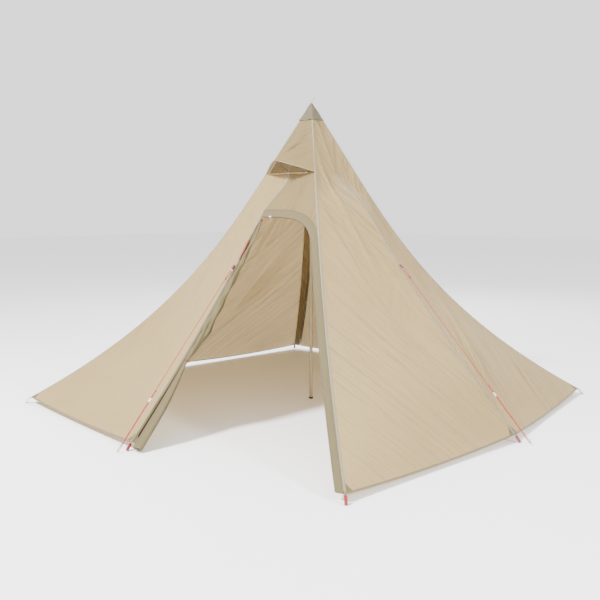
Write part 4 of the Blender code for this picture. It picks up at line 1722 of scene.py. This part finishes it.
@dataclass
class VentHood:
    """One vent hood: the gable of cloth held out over the vent, with its piping and tab.

    Attributes:
        canopy: the surface.
        wardrobe: the finishes.
        side: the side that the vent is in.
        out: how far the middle of the lip stands out.
        lift: how far it is raised.
        fold: share of the way to the cap at which the gable ends.
        top_depth: depth of the hood's top.
        vent_gap: how far the lip starts above the vent's lower edge.
        thickness: thickness of the cloth.
        fold_count: number of folds on each half.
        lean: lean of the fine folds.
        fine_height: height of the fine folds.
        piping_radius: radius of the piping.
        tab_aside: how far the tab is from the middle.
        seed: seed of the draws.
    """

    canopy: Canopy
    wardrobe: Wardrobe
    side: Side
    out: float = 0.147
    lift: float = 0.072
    fold: float = 0.8
    top_depth: float = 0.04
    vent_gap: float = 0.004
    thickness: float = 0.0010
    fold_count: int = 15
    lean: float = math.radians(-50.0)
    fine_height: float = 0.024
    piping_radius: float = 0.0026
    tab_aside: float = 0.021
    seed: int = 31

    def place(self, across: Array, up: Array) -> Array:
        """Return points of the hood.

        The flat face between the two corner ridges, pushed out by gable * flare^1.2 and up by
        gable * flare, with gable 1 at the middle and flare 1 at the lip.

        Args:
            across: share of the way from the first corner ridge to the second.
            up: share of the way from the lip to the cap.

        Returns:
            The points.
        """
        ridge = self.side.value
        depth = mix(self.canopy.vent_depth - self.vent_gap, self.top_depth, up)
        left = self.canopy.ridge((ridge - 1) % RIDGES, depth)
        right = self.canopy.ridge(ridge + 1, depth)
        gap = SEAM_GAP / np.linalg.norm(right - left, axis=-1)
        points = mix(left, right, mix(gap, 1.0 - gap, across)[..., None])
        gable = 1.0 - np.abs(2.0 * across - 1.0) ** 1.12
        flare = np.clip(1.0 - up / self.fold, 0.0, 1.0)
        points += (self.out * gable * flare ** 1.2)[..., None] * self.canopy.outward(ridge)
        points[..., 2] += self.lift * gable * flare
        return points

    def folds(self, points: Array, across: Array, up: Array) -> Array:
        """Return the relief: folds from the corner seams towards the middle of the lip.

        Each starts on a corner seam, the line from the lip's end to the hood's top, and ends
        nearer to the middle and lower.

        Args:
            points: the hood's points.
            across: share of the way across of each point.
            up: share of the way up of each point.

        Returns:
            The height above the smooth surface.
        """
        draw = np.random.default_rng(self.seed + self.side.value)
        wide = np.linalg.norm(points[:, -1] - points[:, 0], axis=-1)[:, None] * (across - 0.5)
        tall = lengths_along(points[::-1, across.shape[1] // 2])[::-1][:, None] + 0.0 * across
        width, height = float(wide.max()), float(tall.max())
        starts, ends, sizes = [], [], []
        for sign in (-1.0, 1.0):
            place = np.sort(draw.random(self.fold_count))
            y = mix(0.04, 0.86, place) * height
            x = sign * (1.0 - y / height) * width * 0.97
            starts.append(np.stack([x, y], axis=1))
            far = mix(0.55, 0.04, draw.random(self.fold_count))
            low = mix(0.15, 0.70, draw.random(self.fold_count))
            ends.append(np.stack([x * far, y * low], axis=1))
            sizes.append(mix(0.004, 0.011, draw.random(self.fold_count)))
        size = np.concatenate(sizes)
        sign = np.where(draw.random(len(size)) < 0.6, 1.0, -0.9)
        folds = Creases(np.vstack(starts), np.vstack(ends), size, 0.55 * size * sign,
                        0.004 * draw.normal(0.0, 1.0, len(size)))
        edge = smooth(np.minimum(across, 1.0 - across) / 0.06) * smooth(up / 0.04)
        return folds.relief(wide, tall) * edge

    def build_cloth(self, word: str) -> None:
        """Make the hood's sheet.

        Args:
            word: the side's name.
        """
        down, across = grid(90, 120)
        points = self.place(across, 1.0 - down)
        relief = self.folds(points, across, 1.0 - down)
        hood = make_piece(f"{word}_hood_cloth",
                          points + surface_normals(points) * relief[..., None])
        # The hood wears the canopy cloth darkened as painted shade.
        finish = self.wardrobe.folded(PAINTED_SHADE_CANOPY, self.lean, self.fine_height)
        dress(hood, finish, "canopy_fabric", rides="canopy", replaces=f"{word}_hood",
              thickness=self.thickness)

    def build_tab(self, word: str) -> None:
        """Make the red tab under the lip's peak: a strap bent over like a roof.

        Args:
            word: the side's name.
        """
        inward = -self.canopy.outward(self.side.value)
        aside = self.canopy.sideways(self.side.value)
        peak = self.place(np.array([0.5]), np.array([0.0]))[0]
        run = np.linspace(-0.5, 0.5, 15)[:, None]
        path = (peak + inward * 0.006 + aside * (self.tab_aside + 0.030 * run)
                - UP * (0.006 + 0.010 * np.abs(run)))
        tab = make_tube(f"{word}_hood_tab", band_rings(path, inward, 0.012, 0.0016))
        dress(tab, self.wardrobe.wear(RED_WEB), "webbing", rides="canopy")

    def build(self) -> None:
        """Make the hood, the piping on its lip and the tab."""
        word = self.side.name.lower()
        self.build_cloth(word)
        share = np.linspace(0.0, 1.0, 120)
        lip = self.place(share, 0.0 * share) - 0.0008 * self.canopy.outward(self.side.value)
        piping = make_tube(f"{word}_hood_piping", tube_rings(lip, self.piping_radius, UP, 10))
        dress(piping, self.wardrobe.wear(TAPE), "trim_fabric", rides="canopy")
        self.build_tab(word)


@dataclass(frozen=True)
class Strap:
    """Sizes of a flat loop of webbing.

    Attributes:
        length: length of the loop.
        fold: its height over all.
        width: width of the webbing.
        thick: thickness of the webbing.
    """

    length: float
    fold: float
    width: float
    thick: float

    def path(self, origin: Array, along: Array, high: Array) -> Array:
        """Return the loop's middle line: two half circles joined by straights.

        Args:
            origin: where the loop is sewn on.
            along: the direction in which it lies.
            high: the direction of its height.

        Returns:
            The points, of which the last is next to the first.
        """
        arc = np.linspace(-math.pi / 2, math.pi / 2, 14)
        radius = (self.fold - self.thick) / 2
        x = np.concatenate([self.length - self.fold / 2 + radius * np.cos(arc),
                            self.fold / 2 - radius * np.cos(arc)])
        y = np.concatenate([radius * np.sin(arc), -radius * np.sin(arc)])
        ends = origin + x[:, None] * along + y[:, None] * high
        there = np.linspace(ends[13], ends[14], 12)[1:-1]
        back = np.linspace(ends[-1], ends[0], 12)[1:-1]
        return np.vstack([ends[:14], there, ends[14:], back])

    def build(self, name: str, origin: Array, along: Array, over: Array,
              material: bpy.types.Material, slot: str, body: str) -> None:
        """Make the loop: a band carried round its middle line.

        Args:
            name: the node that it stands for.
            origin: where the loop is sewn on.
            along: the direction in which it lies.
            over: the direction of its webbing's width.
            material: its finish.
            slot: its slot, named in the log.
            body: what it rides on.
        """
        along, side = unit(along), unit(over)
        path = self.path(origin, along, np.cross(side, along))
        rings = band_rings(path, side, self.width, self.thick, closed=True)
        loop = make_piece(name + "_webbing", rings, wrap_rows=True, wrap_columns=True)
        dress(loop, material, slot, rides=body, replaces=name)


@dataclass
class ApexCap:
    """The four-sided cap over the peak, and the loop that hangs the tent.

    Attributes:
        wardrobe: the finishes.
        half: half the cap's width at its tip, and half its diagonal at its hem.
        heights: heights of its tip and hem.
        thickness: thickness of its cloth.
        cord_radius: radius of the cord in its hem.
        strap: sizes of the loop.
        lean: lean of the loop from upright.
        turn: direction of its lean.
        loop_height: height of its foot.
    """

    wardrobe: Wardrobe
    half: tuple[float, float] = (0.004, 0.080)
    heights: tuple[float, float] = (1.9985, 1.886)
    thickness: float = 0.0012
    cord_radius: float = 0.0016
    strap: Strap = Strap(0.040, 0.011, 0.008, 0.0015)
    lean: float = math.radians(38)
    turn: float = math.radians(41)
    loop_height: float = 2.0045

    def surface(self) -> Array:
        """Return the cap's points, from the tip down to its hem.

        Its section is the superellipse of power 9, scalloped at the hem by cos 4a and dented by
        a slow sine.

        Returns:
            The points, rows down and columns around.
        """
        down, around = (values[:, :-1] for values in grid(46, 96))
        angle = 2.0 * math.pi * around
        square = (np.abs(np.cos(angle)) ** 9 + np.abs(np.sin(angle)) ** 9) ** (-1 / 9)
        radius = mix(self.half[0], self.half[1] * math.cos(math.pi / 4) * 1.07, down ** 0.96)
        scallop = 1.0 - 0.05 * smooth((down - 0.8) / 0.2) * np.cos(4.0 * angle)
        dent = 0.0016 * np.sin(5.0 * angle + 7.0 * down) * np.sin(math.pi * down)
        reach = radius * square * scallop + dent
        z = mix(*self.heights, down) - 0.003 * smooth((down - 0.9) / 0.1) * np.cos(4.0 * angle)
        return np.stack([reach * np.cos(angle), reach * np.sin(angle), z], axis=-1)

    def build(self) -> None:
        """Make the cap, the cord in its hem and the loop."""
        points = self.surface()
        cap = make_piece("apex_cap_cloth", points, wrap_columns=True)
        dress(cap, self.wardrobe.wear(CAP), "trim_fabric", rides="canopy", replaces="apex_cap",
              thickness=self.thickness, offset=1.0)
        hem = np.vstack([points[-1], points[-1, :1]])
        cord = make_piece("cap_hem", tube_rings(hem, self.cord_radius, UP, 8)[:-1],
                          wrap_rows=True, wrap_columns=True)
        dress(cord, self.wardrobe.wear(BINDING), "trim_fabric", rides="canopy")
        level = np.array([math.cos(self.turn), math.sin(self.turn), 0.0])
        along = level * math.sin(self.lean) + UP * math.cos(self.lean)
        self.strap.build("hang_loop", self.loop_height * UP, along, np.cross(level, UP),
                         self.wardrobe.wear(HANG_WEB), "pale_plastic", "hang_loop")


# ---------------------------------------------------------------- guylines and loops


@dataclass
class StakeLoops:
    """The red loops at the foot of every ridge.

    Attributes:
        canopy: the surface.
        wardrobe: the finishes.
        strap: sizes of a loop.
        slope: how steeply it runs down.
        clear: how far its foot stays off the ground.
    """

    canopy: Canopy
    wardrobe: Wardrobe
    strap: Strap = Strap(0.045, 0.011, 0.015, 0.0015)
    slope: float = math.radians(53)
    clear: float = 0.0024

    def build(self) -> None:
        """Make the eight loops, sloping down from the hem to the ground."""
        for ridge in (*Side, *Corner):
            out = self.canopy.outward(ridge.value)
            foot = self.canopy.ridge(ridge.value, 1.0) + out * 0.003
            foot[2] = self.strap.length * math.sin(self.slope) + self.clear
            name = f"stake_loop_{ridge.name.lower()}"
            self.strap.build(name, foot, out * math.cos(self.slope) - UP * math.sin(self.slope),
                             self.canopy.sideways(ridge.value), self.wardrobe.wear(RED_WEB),
                             "webbing", name)


@dataclass
class Guyline:
    """One guyline: its anchor, cord, knots and tensioner.

    Attributes:
        canopy: the surface.
        wardrobe: the finishes.
        side: the side that it holds.
        anchor_height: height of its anchor on the ridge.
        standoff: how far its start is from the ridge.
        stake: distance and height of the point where it turns back.
        cord_radius: radius of the cord.
        strap: sizes of the anchor.
        ring_inset: how far the ring reaches into the anchor.
        ring_radius: radius of the ring.
        strand_gap: half the distance between the two strands.
        turn_radius: radius of the cord's turns.
        tensioner: length, width and thickness of the tensioner.
        tensioner_place: its distance from the start.
        tail: how far the cord's end is from the tensioner.
    """

    canopy: Canopy
    wardrobe: Wardrobe
    side: Side
    anchor_height: float = 0.955
    standoff: float = 0.011
    stake: tuple[float, float] = (1.600, 0.010)
    cord_radius: float = 0.0019
    strap: Strap = Strap(0.034, 0.009, 0.012, 0.0016)
    ring_inset: float = 0.0065
    ring_radius: float = 0.0095
    strand_gap: float = 0.003
    turn_radius: float = 0.0065
    tensioner: tuple[float, float, float] = (0.026, 0.015, 0.007)
    tensioner_place: float = 0.97
    tail: float = 0.045

    def axes(self) -> tuple[Array, Array, float]:
        """Return the line's start, its axes (along, across and away) and its length.

        Along runs from the anchor, held off the ridge, straight to the stake.

        Returns:
            The start, the three axes as rows, and the length.
        """
        ridge = self.side.value
        out = self.canopy.outward(ridge)
        anchor = self.canopy.ridge(ridge, self.canopy.depth_at(self.anchor_height))
        stake = out * self.stake[0] + UP * self.stake[1]
        lift = unit(out * (anchor[2] - stake[2]) + UP * self.stake[0])
        start = anchor + lift * self.standoff
        along = unit(stake - start)
        across = unit(np.cross(lift, along))
        return (start, np.stack([along, across, np.cross(along, across)]),
                float(np.linalg.norm(stake - start)))

    def route(self, length: float) -> tuple[list[list[float]], list[list[float]]]:
        """Return the cord's points from the ring down, and those of the end knotted back.

        The cord leaves a quarter turn in the ring, closes in on the knot, runs to the stake,
        turns there and comes back through the tensioner.

        Args:
            length: distance from the anchor to the stake.

        Returns:
            The cord's points and the short end's points, in the line's own axes.
        """
        gap, radius = self.strand_gap, self.turn_radius
        top = self.strap.length - self.ring_inset + 2 * self.ring_radius + 0.0028
        half = [[top + radius * math.cos(angle), 0.0, radius * math.sin(angle)]
                for angle in np.linspace(math.pi, 1.5 * math.pi, 5)]
        closing = [[0.068, 0.0, -0.0062], [0.080, 0.0, -0.0052], [0.095, 0.0, -0.0032],
                   [0.104, 0.0, -0.0022]]
        straight = length - 0.06
        centre = length - radius
        end = self.tensioner_place - self.tensioner[0] / 2 - self.tail
        main = half + closing + [[0.120, -0.0008, -0.0012], [0.150, -0.0022, -0.0002],
                                 [0.180, -gap, 0.0]]
        main += [[mix(0.180, straight, step / 6), -gap, 0.0] for step in range(1, 7)]
        main += [[length - 0.04, -0.0042, 0.0], [length - 0.02, -0.0060, 0.0]]
        main += [[centre + radius * math.cos(angle), radius * math.sin(angle), 0.0]
                 for angle in np.linspace(-math.pi / 2, math.pi / 2, 9)]
        main += [[length - 0.02, 0.0060, 0.0], [length - 0.04, 0.0042, 0.0],
                 [straight, gap, 0.0]]
        main += [[mix(straight, end, step / 4), gap, 0.0] for step in range(1, 5)]
        short = [[along, 0.0, -away] for along, _, away in half + closing]
        return main, short + [[0.112, 0.0, 0.0021]]

    def knot(self, centre: float, aside: float, reach: float, turns: float) -> Array:
        """Return a wrapped knot's centre line: a helix round the strands.

        Args:
            centre: its place along the line.
            aside: its place across the line.
            reach: the helix's radius.
            turns: its turns, each a little more than the cord's thickness long.

        Returns:
            The points, in the line's own axes.
        """
        t = np.linspace(0.0, 1.0, int(turns * 16))
        angle = 2.0 * math.pi * turns * t
        return np.stack([centre + (t - 0.5) * turns * self.cord_radius * 2.1,
                         reach * np.cos(angle) + aside, reach * np.sin(angle)], axis=1)

    def build_tensioner(self, start: Array, axes: Array) -> bpy.types.Object:
        """Make the tensioner: an oval plate, waisted along its length, with rounded ends.

        Its section is a superellipse whose width dips by an eighth in the middle, and both
        sizes fall to nothing at the ends as (1 - x^6)^(1/3).

        Args:
            start: where the line starts.
            axes: the line's axes.

        Returns:
            The tensioner.
        """
        long, wide, thick = self.tensioner
        t, around = (values[:, :-1] for values in grid(40, 40))
        place = 2.0 * t - 1.0
        ends = np.clip(1.0 - np.abs(place) ** 6, 0.0, 1.0) ** (1 / 3)
        waist = 1.0 - 0.12 * np.cos(math.pi * place / 2) ** 2
        rib = 1.0 + 0.05 * np.cos(place * 28.0) * np.clip(1.0 - np.abs(place) * 1.4, 0.0, 1.0)
        angle = 2.0 * math.pi * around
        local = np.stack([self.tensioner_place + place * long / 2,
                          signed_power(np.cos(angle), 0.6) * wide / 2 * ends * waist,
                          signed_power(np.sin(angle), 0.6) * thick / 2 * ends * rib], axis=-1)
        name = f"tensioner_{self.side.name.lower()}"
        plate = make_tube(f"{name}_plate", start + local @ axes)
        return dress(plate, self.wardrobe.wear(PALE_PLASTIC), "pale_plastic", rides=name,
                     replaces=name)

    def build(self) -> None:
        word = self.side.name.lower()
        braid = self.wardrobe.wear(GUY_BRAID)
        start, axes, length = self.axes()
        main, short = self.route(length)
        line = flowing(main, 420)
        bend = smooth((line[:, 0] - 0.12) / 0.05)[:, None]
        aside = mix(np.array([0.0, 1.0, 0.0]), UP, bend)
        path = start + line @ axes
        cord = make_tube(f"guyline_{word}_cord",
                         tube_rings(path, self.cord_radius, aside @ axes, 10))
        dress(cord, braid, "guy_cord", rides="canopy", replaces=f"guyline_{word}")
        loop = tube_rings(start + flowing(short, 60) @ axes, self.cord_radius, axes[1], 10)
        ends = [make_tube(f"guy_loop_{word}", loop)]
        for kind, *sizes in (("knot", 0.106, 0.0, 0.0034, 4.0),
                             ("tail_knot", float(line[-1, 0]), self.strand_gap, 0.0022, 2.5)):
            rings = tube_rings(start + self.knot(*sizes) @ axes, self.cord_radius, axes[0], 8)
            ends.append(make_tube(f"guy_{kind}_{word}", rings))
        for piece in ends:
            dress(piece, braid, "guy_cord", rides="canopy")
        tensioner = self.build_tensioner(start, axes)
        self.strap.build(f"guy_anchor_{word}", start, axes[0], axes[1],
                         self.wardrobe.wear(RED_WEB), "webbing", "canopy")


@dataclass
class ZipPull:
    """The long red pull of the front zip.

    Attributes:
        canopy: the surface.
        wardrobe: the finishes.
        proud: how far it lies in front of the ridge.
        aside: how far it lies beside the ridge.
        widths: its width above and below its middle.
        thickness: its thickness.
    """

    canopy: Canopy
    wardrobe: Wardrobe
    proud: float = 0.013
    aside: float = 0.010
    widths: tuple[float, float] = (0.006, 0.013)
    thickness: float = 0.0018

    def build(self) -> None:
        """Make the pull: webbing that hangs from the slider and lies along the ridge."""
        low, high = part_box("front_zip_pull")
        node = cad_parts["front_zip_pull"]
        points = np.array([tuple(vertex.co) for vertex in node.data.vertices])
        top = points[np.argmax(points[:, 2])]
        z = np.linspace(float(high.z) - 0.002, float(low.z), 60)
        share = (z[0] - z) / (z[0] - z[-1])
        ridge = self.canopy.ridge(0, self.canopy.depth_at(z))
        front, side = self.canopy.outward(0), self.canopy.sideways(0)
        out = mix(float(ridge[0, 1] - top[1]), self.proud, smooth(share * 4.0))
        aside = mix(float(top[0]), self.aside, smooth(share * 4.5)) + 0.002 * np.sin(share * 9.0)
        path = ridge + out[:, None] * front + aside[:, None] * side
        face = unit(mix(side, front, 0.5 * (0.5 + 0.5 * np.sin(share * 7.0))[:, None]))
        wide = mix(*self.widths, smooth((share - 0.50) / 0.15))
        pull = make_tube("front_zip_pull_webbing", band_rings(path, face, wide, self.thickness))
        dress(pull, self.wardrobe.wear(RED_WEB), "webbing", rides="front_pull",
              replaces="front_zip_pull")


FITTINGS = (
    ("pole_section", ALLOY, "pole_alloy"),
    ("pole_foot", RUBBER, "rubber"),
    ("pole_tip", RUBBER, "rubber"),
    ("pole_cup", TRIM, "trim_fabric"),
    ("shock_cord", RUBBER, "rubber"),
    ("guy_ring", STEEL, "ring_steel"),
    ("door_tie", RED_WEB, "webbing"),
    ("door_toggle", RED_WEB, "webbing"),
    ("front_vent_net", NET, "net"),
    ("front_hood_stay", STAY_ROD, "stay_plastic"),
    ("front_zip_slider", PALE_PLASTIC, "pale_plastic"),
    ("back_vent_net", NET, "net"),
    ("back_hood_stay", STAY_ROD, "stay_plastic"),
    ("back_zip_slider", PALE_PLASTIC, "pale_plastic"),
    ("back_zip_pull", PALE_PLASTIC, "pale_plastic"),
)


def dress_fittings(wardrobe: Wardrobe) -> None:
    """Dress the frame's own parts that keep their shape.

    Args:
        wardrobe: the finishes.
    """
    for start, finish, slot in FITTINGS:
        for name, node in sorted(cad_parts.items()):
            if name.startswith(start):
                dress(node, wardrobe.wear(finish), slot)


# ---------------------------------------------------------------- studio


@dataclass(frozen=True)
class Lamp:
    """One square lamp.

    Attributes:
        name: its name.
        place: where it is.
        size: its side.
        power: its power in watts.
    """

    name: str
    place: tuple[float, float, float]
    size: float
    power: float

    def build(self, target: tuple[float, float, float]) -> None:
        """Make the lamp, aimed at a target.

        Args:
            target: the point that it shines at.
        """
        data = bpy.data.lights.new(self.name, "AREA")
        data.size = self.size
        data.energy = self.power
        lamp = bpy.data.objects.new(self.name, data)
        lamp.location = self.place
        aim = Vector(target) - Vector(self.place)
        lamp.rotation_euler = aim.to_track_quat("-Z", "Y").to_euler()
        bpy.context.scene.collection.objects.link(lamp)


@dataclass(frozen=True)
class Studio:
    """Camera, floor and soft light.

    Attributes:
        eye: where the camera is.
        tilt: its angle from straight down.
        pan: its turn about Z.
        lens: its focal length in millimetres.
        floor_size: side of the floor.
        floor_drop: how far the floor lies under the lowest piece.
        sky: brightness of the sky.
        lamps: the lamps.
        target: the point that they shine at.
    """

    eye: tuple[float, float, float] = (3.336, -3.926, 1.297)
    tilt: float = math.radians(83.24)
    pan: float = math.radians(41.2)
    lens: float = 45.6
    floor_size: float = 60.0
    floor_drop: float = 0.0008
    sky: float = 1.75
    lamps: tuple[Lamp, ...] = (Lamp("key", (-1.0, -5.0, 6.0), 0.9, 1500.0),
                               Lamp("side", (6.5, -0.5, 3.0), 0.9, 420.0),
                               Lamp("back", (-2.5, 5.5, 4.5), 2.0, 260.0))
    target: tuple[float, float, float] = (0.0, 0.0, 0.7)

    def build_camera(self) -> None:
        """Place the camera at chest height, off the right front corner."""
        data = bpy.data.cameras.new("camera")
        data.lens = self.lens
        data.sensor_width = 36.0
        camera = bpy.data.objects.new("camera", data)
        camera.location = self.eye
        camera.rotation_euler = (self.tilt, 0.0, self.pan)
        bpy.context.scene.collection.objects.link(camera)
        bpy.context.scene.camera = camera

    def build_floor(self) -> None:
        """Lay a wide pale floor just under the hems."""
        across, along = grid(2, 2)
        points = np.stack([(along - 0.5) * self.floor_size, (0.5 - across) * self.floor_size,
                           0.0 * across - self.floor_drop], axis=-1)
        floor = make_piece("floor", points)
        nodes = Nodes("pale_floor")
        skin = nodes.add("ShaderNodeBsdfPrincipled", Base_Color=(0.92, 0.92, 0.92, 1.0),
                         Roughness=0.9)
        floor.data.materials.append(nodes.finish(skin.outputs[0]))

    def build_light(self) -> None:
        """Light it softly from all round, with one lamp high in front and two weaker ones."""
        world = bpy.data.worlds.new("studio")
        world.use_nodes = True
        sky = world.node_tree.nodes["Background"]
        sky.inputs["Color"].default_value = (1.0, 1.0, 1.0, 1.0)
        sky.inputs["Strength"].default_value = self.sky
        bpy.context.scene.world = world
        for lamp in self.lamps:
            lamp.build(self.target)


def main() -> None:
    """Build the studio, then the cords, then the sewn pieces and fittings."""
    logging.basicConfig(level=logging.INFO, format="%(name)s: %(message)s")
    studio = Studio()
    studio.build_camera()
    canopy = Canopy()
    wardrobe = Wardrobe()
    for side in Side:
        Guyline(canopy, wardrobe, side).build()
    studio.build_floor()
    studio.build_light()
    panels = PanelCloth(canopy, wardrobe)
    panels.build()
    doorways = {side: Doorway(canopy, wardrobe, panels, side) for side in (Side.FRONT, Side.BACK)}
    for doorway in doorways.values():
        doorway.build()
    BackDoor(doorways[Side.BACK], panels).build()
    RolledDoor(doorways[Side.FRONT], wardrobe).build()
    for side in (Side.FRONT, Side.BACK):
        VentHood(canopy, wardrobe, side).build()
    ApexCap(wardrobe).build()
    SeamTapes(canopy, wardrobe).build()
    HemBindings(canopy, wardrobe).build()
    FootPatches(canopy, wardrobe).build()
    StakeLoops(canopy, wardrobe).build()
    ZipPull(canopy, wardrobe).build()
    dress_fittings(wardrobe)
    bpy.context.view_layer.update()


if __name__ == "__main__":
    main()
